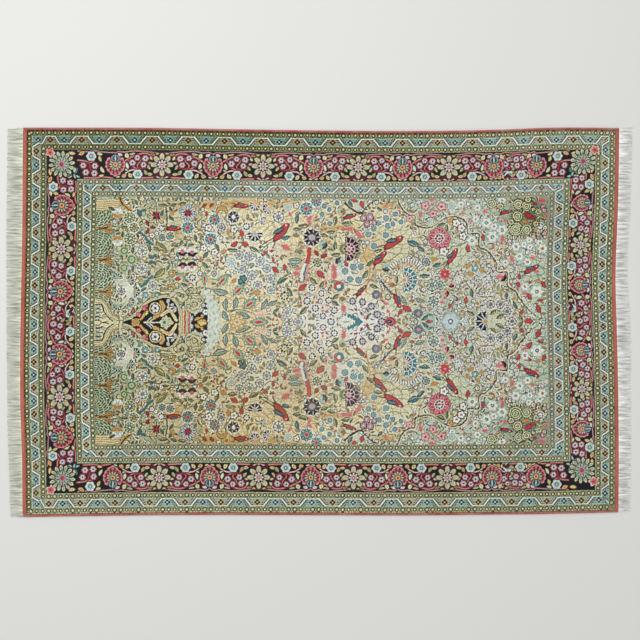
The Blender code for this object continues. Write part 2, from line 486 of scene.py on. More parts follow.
def leaf(chart, axis, half_length=3.4, half_width=1.4, bend=0.0, colour="gold", heart="sand", rim="black"):
    """A pointed leaf with a paler middle and a dark rib."""
    where, a, c = chart.near(axis, half_length + abs(bend) + 1.5)
    chart.dye(where, leaf_shape(a, c, half_length + 0.7, half_width + 0.6, bend), rim)
    chart.dye(where, leaf_shape(a, c, half_length, half_width, bend), colour)
    chart.dye(where, leaf_shape(a, c, half_length * 0.7, half_width * 0.6, bend), heart)
    chart.dye(where, leaf_shape(a, c, half_length * 0.6, 0.22, bend), "olive", strength=0.7)


def oval(a, c, half_length, half_width):
    """Distance, near enough, from an ellipse."""
    return (np.hypot(a / half_length, c / half_width) - 1.0) * min(half_length, half_width)


def ring_of_petals(chart, axis, count, middle, half_length, half_width, rim, dye, phase=0.0):
    """Oval petals round an axis, each rimmed in another dye. Returns the petals' own axes."""
    hearts = [axis.at(0.0, 0.0, phase + 360.0 * k / count).at(middle) for k in range(count)]
    for heart in hearts:
        where, a, c = chart.near(heart, half_length + 2.0)
        chart.dye(where, oval(a, c, half_length + 0.55, half_width + 0.55), rim)
        chart.dye(where, oval(a, c, half_length, half_width), dye)
    return hearts


def star_rosette(chart, axis, radius=11.0):
    """Eight broad beige petals with small peach hearts round a pink and white star."""
    where, a, c = chart.near(axis, radius + 1.5)
    chart.dye(where, disc(a, c, radius * 0.7), "black")
    hearts = ring_of_petals(chart, axis, 8, radius * 0.67, radius * 0.34, radius * 0.2, "fern", "fawn")
    for heart in hearts:
        at, pa, pc = chart.near(heart, radius * 0.4)
        chart.dye(at, oval(pa - radius * 0.17, pc, radius * 0.12, radius * 0.13), "beige", 1.2, 0.7)
        chart.dye(at, oval(pa, pc, radius * 0.15, radius * 0.075), "peach", 0.9)
        chart.dye(at, oval(pa + radius * 0.24, pc, radius * 0.12, radius * 0.06), "reed", 0.8)
    chart.dye(where, ring_of_dots(a, c, 8, radius * 0.4, radius * 0.1, 22.5), "black")
    chart.dye(where, bloom(a, c, radius * 0.32, 8, 0.3), "white", strength=0.9)
    chart.dye(where, bloom(a, c, radius * 0.25, 8, 0.3), "mauve")
    chart.dye(where, disc(a, c, radius * 0.15), "crimson", strength=0.6)
    chart.dye(where, disc(a, c, radius * 0.07), "beige")


def palmette(chart, axis, radius=9.8):
    """A shield of scalloped coral petals with its tip inward, dark and white streaks about a peach heart,
    and a slate leaf in its notch."""
    where, a, c = chart.near(axis, radius * 1.5)
    away, from_tip = np.hypot(a, c), np.arctan2(a, c)
    edge = radius * (0.97 + 0.22 * np.exp(-((from_tip / 0.45) ** 2)) + 0.035 * np.cos(14 * from_tip))
    shape = np.maximum(away - edge, (np.abs(from_tip) - 2.45) * away * 0.6)
    chart.dye(where, shape - 0.9, "black")
    chart.dye(where, shape, "pink")
    chart.dye(where, shape + 0.8, "salmon")
    between_scallops = away * np.abs(np.cos(from_tip * 7.0)) * 2 / 14
    gaps = np.maximum(between_scallops - 0.75, np.maximum(shape + 0.9, radius * 0.6 - away))
    chart.dye(where, gaps, "wine", 0.8)
    chart.dye(where, np.abs(away - radius * 0.7) - 0.5, "crimson", 0.8, 0.7)
    chart.dye(where, disc(a, c, radius * 0.62), "wine", 1.0)
    streaks = away * np.abs(np.sin(from_tip * 6.0 + 0.3)) * 2 / 12
    chart.dye(where, np.maximum(streaks - 0.62, away - radius * 0.6), "fawn", 0.8)
    chart.dye(where, disc(a, c, radius * 0.34), "reed", 0.8, 0.8)
    chart.dye(where, disc(a, c, radius * 0.24), "peach", 1.0)
    chart.dye(where, disc(a, c, radius * 0.12), "brick", 0.8)
    at, la, lc = chart.near(axis.at(0.0, -radius * 0.62, 90.0), radius * 0.7)
    chart.dye(at, oval(la, lc, radius * 0.38, radius * 0.48), "black", strength=0.8)
    chart.dye(at, oval(la, lc, radius * 0.32, radius * 0.42), "grey")
    chart.dye(at, oval(la, lc, radius * 0.26, radius * 0.34), "slate")
    chart.dye(at, leaf_shape(la - 0.4, lc, radius * 0.4, radius * 0.22), "fern")
    chart.dye(at, leaf_shape(la, lc, radius * 0.36, radius * 0.06), "cloud", strength=0.8)


def corner_rosette(chart, axis, radius=12.4):
    """Two rings of ragged grey-green petals, parted by black, about a pink heart."""
    where, a, c = chart.near(axis, radius + 2.0)
    chart.dye(where, bloom(a, c, radius * 1.02, 14, 0.07), "black")
    chart.dye(where, np.maximum(spokes(a, c, 14, 1.3, 12.0), bloom(a, c, radius * 0.94, 14, 0.12)), "fawn")
    chart.dye(where, np.maximum(-spokes(a, c, 14, 0.7), disc(a, c, radius * 0.88)), "moss", strength=0.7)
    chart.dye(where, bloom(a, c, radius * 0.62, 10, 0.14, 90.0), "reed")
    inner = bloom(a, c, radius * 0.56, 10, 0.16, 90.0)
    chart.dye(where, np.maximum(spokes(a, c, 10, 0.8, 9.0), inner), "sage")
    chart.dye(where, bloom(a, c, radius * 0.3, 6, 0.18), "mauve")
    chart.dye(where, bloom(a, c, radius * 0.17, 6, 0.12), "crimson", strength=0.75)


def knot_star(chart, axis, radius=3.4, colour="coral", heart="crimson"):
    """A five-pointed pink star."""
    where, a, c = chart.near(axis, radius + 1.0)
    chart.dye(where, bloom(a, c, radius, 5, 0.22), "rose")
    chart.dye(where, bloom(a, c, radius * 0.72, 5, 0.2), colour)
    chart.dye(where, disc(a, c, radius * 0.25), heart)


# Stripes and borders


def stripe_levels(chart):
    """The level and the side of every sample. A level's whole part is the number of the stripe, and the rest
    is the share of the way across it.

    A depth from each edge is turned to such a level, and the lowest one wins, which mitres the corners.
    """
    x, y = chart.x - CHART_LEFT, chart.y - CHART_FAR
    depths = (y, CHART_WIDE - y, x, CHART_LONG - x)
    count = np.arange(len(STRIPES) + 1)
    levels = [np.interp(d, side_ends(i), count) for i, d in enumerate(depths)]
    level = np.minimum.reduce(levels)
    return level, np.argmin(levels, axis=0)


def side_ends(side):
    """Where the stripes of a side begin and end, from its edge inward."""
    return np.array([0.0] + [row[side + 1] for row in STRIPES])


# The slanting strokes beside the guards' ribbon: how far off it, dye and half their width
STROKES = (
    (-1.5, "ink", 0.55),
    (1.5, "ink", 0.55),
    (-2.5, "grey", 0.5),
    (2.5, "lilac", 0.5),
    (-3.6, "reed", 0.5),
    (3.6, "brown", 0.45),
)


def small_stripe(along, across, half_width, pitch):
    """Pale khaki ground, olive rings with cream eyes, specks between, and a grey-green line at each edge."""
    number = np.round(along)
    to_dot = (along - number) * pitch
    colour = np.broadcast_to(DYE["flax"], along.shape + (3,)).copy()
    away = np.hypot(to_dot, across)
    strong = 0.7 + 0.3 * np.sin(number * 2.4)[..., None] ** 2
    lay(colour, away - 2.5, DYE["beige"], 0.9, 0.4)
    ring = np.abs(away - 1.75 - 0.2 * np.sin(number * 1.7)) - 0.6
    lay(colour, ring, np.where((number % 4 == 0)[..., None], DYE["brown"], DYE["reed"]), 0.7, strong)
    lay(colour, away - 0.65, np.where((number % 3 == 0)[..., None], DYE["sand"], DYE["beige"]), 0.7, 0.8)
    between = np.hypot(np.abs(to_dot) - pitch / 2, (np.abs(across) - half_width * 0.5) * 0.8)
    lay(colour, between - 0.6, DYE["olive"], 0.9, 0.9)
    lay(colour, half_width - 0.6 - np.abs(across), DYE["thyme"], 0.7, 0.8)
    return colour


def guard_stripe(number, to_heart, across, half_width, pitch):
    """Blue and gold rosettes by turns, with a pale ribbon that winds between them.

    A rosette is four dark dots in a diamond about a pale heart. The ribbon lies at the clipped cosine of the
    rosettes' count, so that it passes each one on one side and crosses the stripe in between, with slanting
    strokes on both its sides.
    """
    phase = np.pi * number
    wave = 1.7 * np.cos(phase)
    ribbon = np.clip(wave, -0.86, 0.86) * half_width
    slope = np.where(np.abs(wave) < 0.86, -1.7 * np.pi * np.sin(phase) * half_width / pitch, 0.0)
    off = (across - ribbon) / np.sqrt(1.0 + slope**2)
    colour = np.broadcast_to(DYE["sage"], number.shape + (3,)).copy()
    lay(colour, -off, DYE["flax"], 0.8, 0.8)
    lay(colour, half_width - 0.7 - np.abs(across), DYE["mist"], 0.7, 0.8)
    crossing = np.abs(wave) - 1.2
    for gap, dye, half in STROKES:
        swell = half * (1.0 - 0.4 * np.abs(across) / half_width)
        lay(colour, np.maximum(np.abs(off - gap) - swell, crossing), DYE[dye], 0.6)
    edge_share = np.clip((np.abs(wave) - 0.8) / 0.3, 0.0, 1.0)
    lay(colour, np.abs(off) - 0.55 + 0.3 * edge_share, DYE["white"], 0.8, 0.85)
    blue = (np.round(number) % 2 == 0)[..., None]
    lay(colour, diamond(to_heart, across, 4.0, 3.7), np.where(blue, DYE["cloud"], DYE["sand"]), 1.0, 0.85)
    for a, c, size in ((1.8, 0.0, 1.1), (-1.8, 0.0, 1.05), (0.0, 1.7, 1.1), (0.0, -1.7, 1.05)):
        dot = np.hypot(to_heart - a, across - c) - size
        lay(colour, dot - 0.5, np.where(blue, DYE["teal"], DYE["brown"]), 0.8, 0.5)
        lay(colour, dot, np.where(blue, DYE["navy"], DYE["bark"]), 0.7)
    lay(colour, np.hypot(to_heart, across) - 0.75, np.where(blue, DYE["cloud"], DYE["peach"]), 0.7, 0.9)
    return colour


def lay(colour, distance, dye, soft=0.7, strength=1.0):
    """Blends a dye into an array of colours where a signed distance is negative."""
    colour += (dye - colour) * np.clip(0.5 - distance / soft, 0.0, 1.0)[..., None] * strength


def count_rosettes(place, table):
    """The running count of rosettes at each place along a side, and the distance to the nearest heart."""
    places, numbers = np.array(table, dtype=float).T
    first, last = np.diff(places)[[0, -1]] / np.diff(numbers)[[0, -1]]
    places = np.concatenate([[places[0] - 4 * first], places, [places[-1] + 4 * last]])
    numbers = np.concatenate([[numbers[0] - 4], numbers, [numbers[-1] + 4]])
    count = np.interp(place, places, numbers)
    return count, place - np.interp(np.round(count), numbers, places)


def knot_stripes(chart):
    """Dyes the narrow stripes of all four sides, and the plain black ground of the main border."""
    level, side_of = stripe_levels(chart)
    stripe_of = np.floor(level).astype(int)
    for number, row in enumerate(STRIPES):
        for side, side_name in enumerate(SIDES):
            inside = (stripe_of == number) & (side_of == side)
            if row[0] in ("bound edge", "main border"):
                chart.colour[inside] = DYE["coral" if row[0] == "bound edge" else "black"]
                continue
            ends = side_ends(side)
            half = (ends[number + 1] - ends[number]) / 2
            across = (level[inside] - number - 0.5) * 2 * half
            place = (chart.x if side < 2 else chart.y)[inside]
            pitch = SMALL_STRIPE_PITCH[side_name]
            if row[0] == "guard":
                table = (OUTER_ROSETTES if number < 4 else INNER_ROSETTES)[side_name]
                count, to_heart = count_rosettes(place, table)
                chart.colour[inside] = guard_stripe(count, to_heart, across, half, 3 * pitch)
            else:
                chart.colour[inside] = small_stripe(place / pitch, across, half, pitch)
    edge_line = np.minimum(level - 4, 5 - level)
    inside = stripe_of == 4
    lines = chart.colour[inside]
    lay(lines, edge_line[inside] * 28 - 0.9, DYE["ink"], 0.6)
    chart.colour[inside] = lines
    for side, side_name in enumerate(SIDES):
        chart.blend((level >= 5) & (level < 8) & (side_of == side), "cloud", INNER_PALENESS[side_name])
    chart.blend((stripe_of == 7) & (side_of == 3), "lilac", 0.2)


def paint_border_dye_and_shade(chart):
    """Darkens the stripes and the main border of each side by the tones of its tables of uneven dye and
    painted shade.
    """
    level, side_of = stripe_levels(chart)
    for side, side_name in enumerate(SIDES):
        place = chart.x if side < 2 else chart.y
        # painted shade of the pile's sheen, together with uneven dye, darkens each side's stripes and border
        for first, last, darkening in ((0, 4, OUTER_DYE_AND_SHADE), (4, 5, BORDER_DYE_AND_SHADE), (5, 8, INNER_DYE_AND_SHADE)):
            inside = (side_of == side) & (level >= first) & (level < last)
            chart.darken(inside, np.interp(place[inside], *np.array(darkening[side_name]).T))


def side_axis(side, along, inward):
    """An axis on a side: `along` is a chart place on its line, `inward` a depth from its edge."""
    if side == 0:
        return Axis(along, CHART_FAR + inward, 0.0, 1)
    if side == 1:
        return Axis(along, CHART_FAR + CHART_WIDE - inward, 0.0, -1)
    if side == 2:
        return Axis(CHART_LEFT + inward, along, 90.0, -1)
    return Axis(CHART_LEFT + CHART_LONG - inward, along, 90.0, 1)


def border_spray(chart, axis, length, wide, stems, flowers, leaves):
    """Stems, then leaves, then flowers, at shares of the length and of the border's width."""

    def spot(t, w, turn=0.0):
        return axis.at(t * length, (w - 0.5) * wide, turn)

    for dye, width, edge, edge_width, points in stems:
        places = [(t * length, (w - 0.5) * wide) for t, w in points]
        vine(chart, axis, places, dye, width, edge, edge_width)
    for t, w, turn, half_length, half_width, dye, heart in leaves:
        leaf(chart, spot(t, w, turn), half_length, half_width, 0.12 * half_length, dye, heart)
    for motif, t, w, radius in flowers:
        motif(chart, spot(t, w), radius)


# The spray between a palmette and a star rosette, along the border from one to the other
SPRAY_STEMS = (
    # dye, width, edge, edge width, places
    ("wine", 9, None, 0, ((0.34, 0.46), (0.5, 0.36), (0.66, 0.38))),
    ("mauve", 0.6, "wine", 0.4, ((0, 0.12), (0.08, 0.06), (0.2, 0.08), (0.35, 0.04), (0.6, 0.05), (1, 0.12))),
    ("wine", 2, "black", 0.5, ((0.24, 0.42), (0.34, 0.3), (0.46, 0.2), (0.6, 0.17), (0.72, 0.22))),
    ("salmon", 1.4, "wine", 0.5, (
        (0.16, 0.43), (0.28, 0.3), (0.4, 0.21), (0.58, 0.12), (0.7, 0.14), (0.77, 0.24),
    )),
    ("salmon", 1, "wine", 0.7, ((0.28, 0.37), (0.32, 0.5), (0.39, 0.59), (0.46, 0.65))),
    ("salmon", 0.9, "wine", 0.6, ((0.5, 0.66), (0.47, 0.52), (0.53, 0.4), (0.56, 0.26))),
    ("crimson", 1.1, "wine", 0.5, ((0.5, 0.6), (0.56, 0.64), (0.66, 0.6), (0.72, 0.5))),
    ("rose", 0.9, "wine", 0.4, ((0.18, 0.85), (0.25, 0.76), (0.34, 0.69), (0.46, 0.68))),
    ("salmon", 1.5, "black", 0.5, ((0.57, 0.96), (0.68, 0.95), (0.8, 0.94), (0.9, 0.9))),
    ("rose", 1, "wine", 0.5, ((0.84, 0.86), (0.92, 0.93), (1, 0.95))),
    ("wine", 1.4, "wine", 0.4, ((0.84, 0.12), (0.92, 0.2), (0.98, 0.1))),
    ("wine", 2.4, "black", 0.4, ((0.84, 0.9), (0.9, 0.84), (0.97, 0.9))),
)
SPRAY_FLOWERS = (
    # flower, along, across, radius
    (floret, 0.367, 0.44, 3.1),
    (floret, 0.471, 0.27, 2.7),
    (floret, 0.642, 0.295, 3.1),
    (floret, 0.603, 0.507, 2.8),
    (pale_flower, 0.48, 0.83, 4.5),
)
SPRAY_LEAVES = (
    # along, across, turn, half length, half width, dye, heart
    (0.25, 0.19, 60, 2.7, 2, "celadon", "sand"),
    (0.10, 0.16, 20, 2.4, 1.5, "rose", "cloud"),
    (0.36, 0.13, -12, 2.8, 0.9, "beige", "khaki"),
    (0.26, 0.54, 75, 3.2, 1.5, "celadon", "white"),
    (0.24, 0.68, 20, 1.8, 0.9, "khaki", "beige"),
    (0.185, 0.88, -20, 2.4, 1.7, "peach", "ochre"),
    (0.325, 0.87, 50, 2.6, 1.6, "sand", "peach"),
    (0.66, 0.77, 50, 3.2, 1.5, "khaki", "ochre"),
    (0.74, 0.82, 10, 2.6, 1.3, "beige", "ochre"),
    (0.72, 0.59, 55, 2.4, 1, "beige", "khaki"),
    (0.75, 0.44, -10, 1.8, 0.9, "celadon", "rose"),
    (0.77, 0.28, 60, 2, 1, "rose", "sand"),
    (0.80, 0.15, 10, 2.2, 1, "peach", "brown"),
    (0.04, 0.9, 10, 2.6, 1, "beige", "sand"),
    (0.90, 0.12, -10, 1.7, 0.8, "ochre", "peach"),
)

# The spray between a corner rosette and the first palmette
CORNER_STEMS = (
    # dye, width, edge, edge width, places
    ("wine", 8, None, 0, ((0.42, 0.55), (0.5, 0.66), (0.58, 0.74))),
    ("salmon", 1.2, "wine", 0.6, ((0.3, 0.36), (0.42, 0.38), (0.52, 0.44), (0.6, 0.38))),
    ("crimson", 1.1, "wine", 0.6, ((0.36, 0.5), (0.5, 0.46), (0.53, 0.62), (0.58, 0.84))),
    ("salmon", 1.1, "wine", 0.5, ((0.42, 0.95), (0.6, 0.96), (0.8, 0.93), (0.95, 0.97))),
    ("mauve", 0.6, "wine", 0.4, ((0.3, 0.04), (0.45, 0.07), (0.6, 0.04), (0.8, 0.08), (1, 0.1))),
)
CORNER_FLOWERS = (
    # flower, along, across, radius
    (pale_flower, 0.55, 0.22, 4.6),
    (floret, 0.40, 0.53, 2.9),
    (floret, 0.62, 0.55, 2.9),
    (floret, 0.45, 0.77, 3),
    (floret, 0.61, 0.80, 3),
)
CORNER_LEAVES = (
    # along, across, turn, half length, half width, dye, heart
    (0.19, 0.11, 10, 3.4, 1.7, "ochre", "sand"),
    (0.37, 0.11, -25, 3.2, 1.7, "peach", "ochre"),
    (0.71, 0.13, 20, 2.6, 1.4, "beige", "celadon"),
    (0.72, 0.3, 70, 3, 1.4, "ochre", "celadon"),
    (0.76, 0.68, 60, 3.2, 1.4, "celadon", "cream"),
    (0.27, 0.72, 110, 3.2, 1.5, "slate", "teal"),
    (0.3, 0.9, 20, 2.6, 1.1, "teal", "mist"),
    (0.74, 0.88, -10, 2.4, 1.2, "peach", "sand"),
    (0.14, 0.9, 0, 2.6, 1.2, "beige", "sand"),
)


SPRAY = (SPRAY_STEMS, SPRAY_FLOWERS, SPRAY_LEAVES)
CORNER_SPRAY = (CORNER_STEMS, CORNER_FLOWERS, CORNER_LEAVES)

# Main border of each side: where its palmettes and rosettes stand, by turns, from the first palmette on and
# from the last palmette back
FIRST_STATIONS = {
    "far": (114.3, 161.0, 212.0, 262.0, 312.6, 357.2, 401.6, 448.0, 492.8),
    "near": (112.2, 158.5, 209.0, 258.0, 310.0, 352.7, 397.0, 446.5, 491.2),
    "left": (206.1, 249.5, 291.5),
    "right": (204.2, 246.5, 286.4),
}
LAST_STATIONS = {
    "far": (535.6,),
    "near": (535.1,),
    "left": (436.6, 396.3, 353.8),
    "right": (430.5, 390.5, 352.2),
}
CORNERS = {"far": (60.7, 582.0), "near": (61.7, 581.0), "left": (165.3, 476.9), "right": (162.9, 471.8)}


def spray_towards(chart, side, start, stop, length, spray):
    """A spray in a side's main border, from one place towards another, for a share of the gap between."""
    outer, inner = side_ends(side)[4:6]
    heading = side_axis(side, start, (outer + inner) / 2)
    if stop < start:
        heading = heading.reversed()
    border_spray(chart, heading, length * abs(stop - start), inner - outer, *spray)


def knot_main_border(chart):
    """Palmettes and rosettes by turns down each side, with a flower spray between each two."""
    for side, name in enumerate(SIDES):
        outer, inner = side_ends(side)[4:6]
        middle, wide = (outer + inner) / 2, inner - outer
        runs = FIRST_STATIONS[name], LAST_STATIONS[name]
        for stations in runs:
            for i, (start, stop) in enumerate(zip(stations, stations[1:])):
                palm, star = (start, stop) if i % 2 == 0 else (stop, start)
                spray_towards(chart, side, palm, star, 1.0, SPRAY)
        for corner, stations in zip(CORNERS[name], runs):
            spray_towards(chart, side, corner, stations[0], 1.0, CORNER_SPRAY)
        start, stop = FIRST_STATIONS[name][-1], LAST_STATIONS[name][-1]
        spray_towards(chart, side, start, stop, 0.75, SPRAY)
        spray_towards(chart, side, stop, start, 0.75, SPRAY)
        for stations in runs:
            for i, place in enumerate(stations):
                spot = side_axis(side, place, middle)
                if i % 2:
                    star_rosette(chart, spot, wide * 0.385)
                else:
                    palmette(chart, spot, wide * 0.34)
    for x, y, turn in (
        (CORNERS["far"][0], CORNERS["left"][0], 225.0),
        (CORNERS["far"][1], CORNERS["right"][0], 315.0),
        (CORNERS["near"][0], CORNERS["left"][1], 135.0),
        (CORNERS["near"][1], CORNERS["right"][1], 45.0),
    ):
        corner = Axis(x, y, turn)
        corner_rosette(chart, corner)
        knot_star(chart, corner.at(16.5), 4.2)


# Field motifs


def spokes(a, c, count, gap, phase=0.0):
    """Negative between `count` rays, and positive within half a gap of one."""
    angle = np.arctan2(c, a) + np.radians(phase)
    return gap / 2 - np.hypot(a, c) * np.abs(np.sin(angle * count / 2)) * 2 / count


def ring_of_dots(a, c, count, radius, size, phase=0.0):
    """Distance from the nearest of `count` dots spaced round a circle."""
    turn = (np.arctan2(c, a) + np.radians(phase)) * count / (2 * np.pi)
    off = (turn - np.round(turn)) * 2 * np.pi / count
    return np.hypot(np.hypot(a, c) - radius, off * radius) - size


def rosette(chart, axis, size, rim="teal", petals="white", heart="pink", lobes=8):
    """A round flower: scalloped rim, pale petals parted by the rim's colour, and a heart."""
    where, a, c = chart.near(axis, size + 2)
    chart.dye(where, disc(a, c, size + 0.9), "white", strength=0.6)
    chart.dye(where, bloom(a, c, size, lobes, 0.06), rim)
    chart.dye(where, np.maximum(spokes(a, c, lobes, 0.75), disc(a, c, size - 0.9)), petals)
    chart.dye(where, disc(a, c, size * 0.34), rim, strength=0.6)
    chart.dye(where, disc(a, c, size * 0.22), heart)


def petalled(chart, axis, size, rim="olive", petals="mist", heart="crimson", tips=("teal", "gold")):
    """Eight separate petals with dyed tips, every other one in the heart's dye near its base."""
    hearts = ring_of_petals(chart, axis, 8, size * 0.6, size * 0.36, size * 0.22, rim, petals)
    for number, petal in enumerate(hearts):
        where, a, c = chart.near(petal, size * 0.5)
        chart.dye(where, leaf_shape(a - size * 0.1, c, size * 0.2, size * 0.1), tips[number % 2])
        chart.dye(where, leaf_shape(a + size * 0.3, c, size * 0.26, size * 0.12), (heart, rim)[number % 2])
    where, a, c = chart.near(axis, size * 0.5)
    chart.dye(where, disc(a, c, size * 0.16), heart)


def daisy(chart, axis, size, petals="teal", parting="mist", heart="red", lobes=8):
    """A flower of dark petals parted by thin pale lines, with dots round its heart."""
    where, a, c = chart.near(axis, size + 2)
    chart.dye(where, disc(a, c, size + 0.9), "white", strength=0.8)
    chart.dye(where, np.maximum(spokes(a, c, lobes, 0.45), bloom(a, c, size, lobes, 0.08)), petals)
    chart.dye(where, disc(a, c, size * 0.52), parting, strength=0.45)
    chart.dye(where, ring_of_dots(a, c, lobes, size * 0.48, size * 0.1), "ink")
    chart.dye(where, disc(a, c, size * 0.32), heart)


def half_daisy(chart, axis, size, petals="black", parting="white", heart="gold", lobes=15):
    """A fan of dark wedges with pale gaps over the half that its axis points to, and a heart at its base."""
    where, a, c = chart.near(axis, size + 2)
    away = np.hypot(a, c)
    back = -a - size * 0.22
    chart.dye(where, np.maximum(away - size - 0.5, back), parting, strength=0.9)
    wedges = np.maximum(spokes(a, c, lobes, 0.7), bloom(a, c, size, lobes, 0.06))
    chart.dye(where, np.maximum(np.maximum(wedges, back + 0.3), size * 0.27 - away), petals, 0.5)
    chart.dye(where, disc(a, c, size * 0.24), heart)


def dotted_ring(chart, axis, size, dots="black", middle="white", count=8):
    """A ring of dark dots about a pale round."""
    where, a, c = chart.near(axis, size + 2)
    chart.dye(where, disc(a, c, size + 0.5), middle, strength=0.85)
    chart.dye(where, ring_of_dots(a, c, count, size * 0.74, size * 0.25), dots, 0.5)
    chart.dye(where, disc(a, c, size * 0.17), "olive", strength=0.6)


def cupped(chart, axis, size, cup="navy", petals="white", heart="coral"):
    """A pale flower that sits in a dark cup on the side that its axis points to."""
    where, a, c = chart.near(axis, size + 2)
    chart.dye(where, disc(a, c, size + 0.5), "khaki", strength=0.7)
    chart.dye(where, bloom(a, c, size, 7, 0.08), petals)
    chart.dye(where, np.maximum(-spokes(a, c, 7, 0.5), disc(a, c, size)), "grey", strength=0.7)
    chart.dye(where, np.maximum(disc(a, c, size), size * 0.08 - a), cup)
    chart.dye(where, disc(a, c, size * 0.38), heart)


def bud(chart, axis, size, colour="red", rim="wine"):
    """A pointed bud or single petal with a ragged rim."""
    where, a, c = chart.near(axis, size + 2)
    ragged = 0.35 * np.sin(a * 2.4 + axis.x) * np.cos(c * 2.1 + axis.y)
    chart.dye(where, leaf_shape(a, c, size + 0.5, size * 0.55 + 0.35) + ragged, rim, strength=0.85)
    chart.dye(where, leaf_shape(a + 0.2, c, size * 0.9, size * 0.42) + ragged, colour)


def blade(chart, axis, size, colour="green", heart="mist", rim="olive"):
    """A leaf with a dark rim, a pale middle, a dark rib and side veins."""
    where, a, c = chart.near(axis, size + 2)
    bend = size * 0.12
    chart.dye(where, leaf_shape(a, c, size + 1.1, size * 0.4 + 1.1, bend), "cream", strength=0.8)
    chart.dye(where, leaf_shape(a, c, size + 0.6, size * 0.38 + 0.5, bend), rim)
    inside = leaf_shape(a, c, size, size * 0.34, bend)
    chart.dye(where, inside, colour)
    chart.dye(where, leaf_shape(a, c - size * 0.12, size * 0.7, size * 0.16, bend), heart, strength=0.9)
    if size > 3.0:
        veins = np.abs(np.mod(a + np.abs(c) * 0.9, 1.9) - 0.95) - 0.25
        chart.dye(where, np.maximum(veins, inside), rim, 0.6, 0.8)
    chart.dye(where, leaf_shape(a, c, size * 0.85, 0.3, bend), rim)


def bird(chart, axis, size, body="red", rim="wine", tail="grey"):
    """A bird flying along its axis: a stout body, a round head, a raised wing and a forked tail."""
    where, a, c = chart.near(axis, size * 0.7)
    for side in (-0.12, 0.12):
        feather = ((-size * 0.3, 0.0), (-size * 0.55, size * side), (-size * 0.8, size * side * 1.6))
        vine(chart, axis, feather, tail, 0.8, "olive", 0.3)
    body_shape = oval(a, c - size * 0.04, size * 0.46, size * 0.15)
    chart.dye(where, body_shape - 0.8, rim)
    chart.dye(where, body_shape, body)
    chart.dye(where, np.maximum(np.abs(np.mod(a, 2.2) - 1.1) - 0.25, body_shape), rim, 0.6, 0.6)
    wing = axis.at(-size * 0.02, -size * 0.1, 22)
    at, wa, wc = chart.near(wing, size * 0.4)
    chart.dye(at, leaf_shape(wa, wc, size * 0.32, size * 0.12), "ink")
    chart.dye(at, leaf_shape(wa, wc, size * 0.26, size * 0.06), "slate")
    chart.dye(where, np.hypot(a - size * 0.4, c) - size * 0.1, body)
    chart.dye(where, np.hypot(a - size * 0.42, c) - size * 0.035, "white")


def spindle(chart, axis, size, core="red", halo="green"):
    """A long red bud in a serrated green leaf, with a small ring at its stalk."""
    where, a, c = chart.near(axis, size * 1.3)
    teeth = 0.8 * np.cos(a * 2.3) + 0.4 * np.cos(c * 3.1)
    chart.dye(where, leaf_shape(a - size * 0.12, c, size, size * 0.55 + teeth), halo, strength=0.85)
    chart.dye(where, leaf_shape(a, c, size * 0.78, size * 0.3 + teeth * 0.5), "mist", strength=0.8)
    chart.dye(where, leaf_shape(a, c, size * 0.62, size * 0.16 + 0.4), "coral")
    chart.dye(where, leaf_shape(a, c, size * 0.5, size * 0.1 + 0.2), core)
    chart.dye(where, np.abs(np.hypot(a + size * 0.82, c) - 1.0) - 0.35, "olive")


def crescent(chart, axis, size, colour="gold", rim="black"):
    """A moon whose hollow side faces back along its axis."""
    where, a, c = chart.near(axis, size + 2)
    moon = np.maximum(disc(a, c, size), size * 0.8 - np.hypot(a + size * 0.5, c))
    chart.dye(where, moon - 0.6, rim, strength=0.8)
    chart.dye(where, moon, colour)


def outlined(chart, axis, size, rim="olive", petals="cream", eye="gold", lobes=5):
    """A tiny flower drawn by its dark outline."""
    where, a, c = chart.near(axis, size + 2)
    chart.dye(where, bloom(a, c, size + 0.45, lobes, 0.12), rim)
    chart.dye(where, bloom(a, c, size * 0.82, lobes, 0.18), petals)
    chart.dye(where, disc(a, c, size * 0.28), eye)


def blossom(chart, axis, size, petals="white", ring="slate", eye="mist"):
    """A soft open flower without an outline, with a dark ring about its eye."""
    where, a, c = chart.near(axis, size + 2)
    chart.dye(where, bloom(a, c, size + 0.8, 6, 0.1), "aqua", 1.4, 0.6)
    chart.dye(where, bloom(a, c, size * 0.94, 6, 0.14), petals, 1.5, 0.92)
    chart.dye(where, disc(a, c, size * 0.34), ring)
    chart.dye(where, disc(a, c, size * 0.16), eye)


def swirl(chart, axis, size, line="olive", ground="cream"):
    """Rings one inside the other, drawn off round to look wound, with a rim of dots."""
    where, a, c = chart.near(axis, size + 2)
    away = np.hypot(a, c) + 0.35 * np.arctan2(c, a) / np.pi
    chart.dye(where, away - size, ground)
    chart.dye(where, np.maximum(np.abs(np.mod(away, 2.0) - 1.0) - 0.42, away - size - 0.4), line)
    chart.dye(where, ring_of_dots(a, c, int(size * 3), size + 0.6, 0.6), line, 0.5)


def dash_mark(chart, axis, size, colour="ink", echo="white"):
    """A short curved stroke with a pale one beside it."""
    where, a, c = chart.near(axis, size + 2)
    chart.dye(where, leaf_shape(a, c - 1.0, size, 0.7, size * 0.3), echo, strength=0.9)
    chart.dye(where, leaf_shape(a, c, size, 0.65, size * 0.3), colour)


# Field

# The line about which the field's two halves mirror each other: its chart places at both ends
MIDDLE_LINE = ((96.0, 322.7), (546.0, 321.0))

# The dark line of the niche, in the far half, from the far border to its tip on the middle line
NICHE_LINE = (
    # x, y
    (396.5, 197), (402, 209), (408, 214.5), (414.8, 216), (415.6, 224.5), (421, 227), (430, 227.3),
    (437, 223.5), (444, 218.6), (451.6, 216.4), (460, 218), (466, 222.5), (468, 231.5), (468.6, 234),
    (478.8, 234.4), (479.2, 246.5), (486, 250), (492, 256), (496.8, 264), (497.2, 272), (507, 272.6),
    (507.6, 285.5), (514.7, 291), (521, 300), (526, 306.5), (531, 312.5), (539, 321),
)

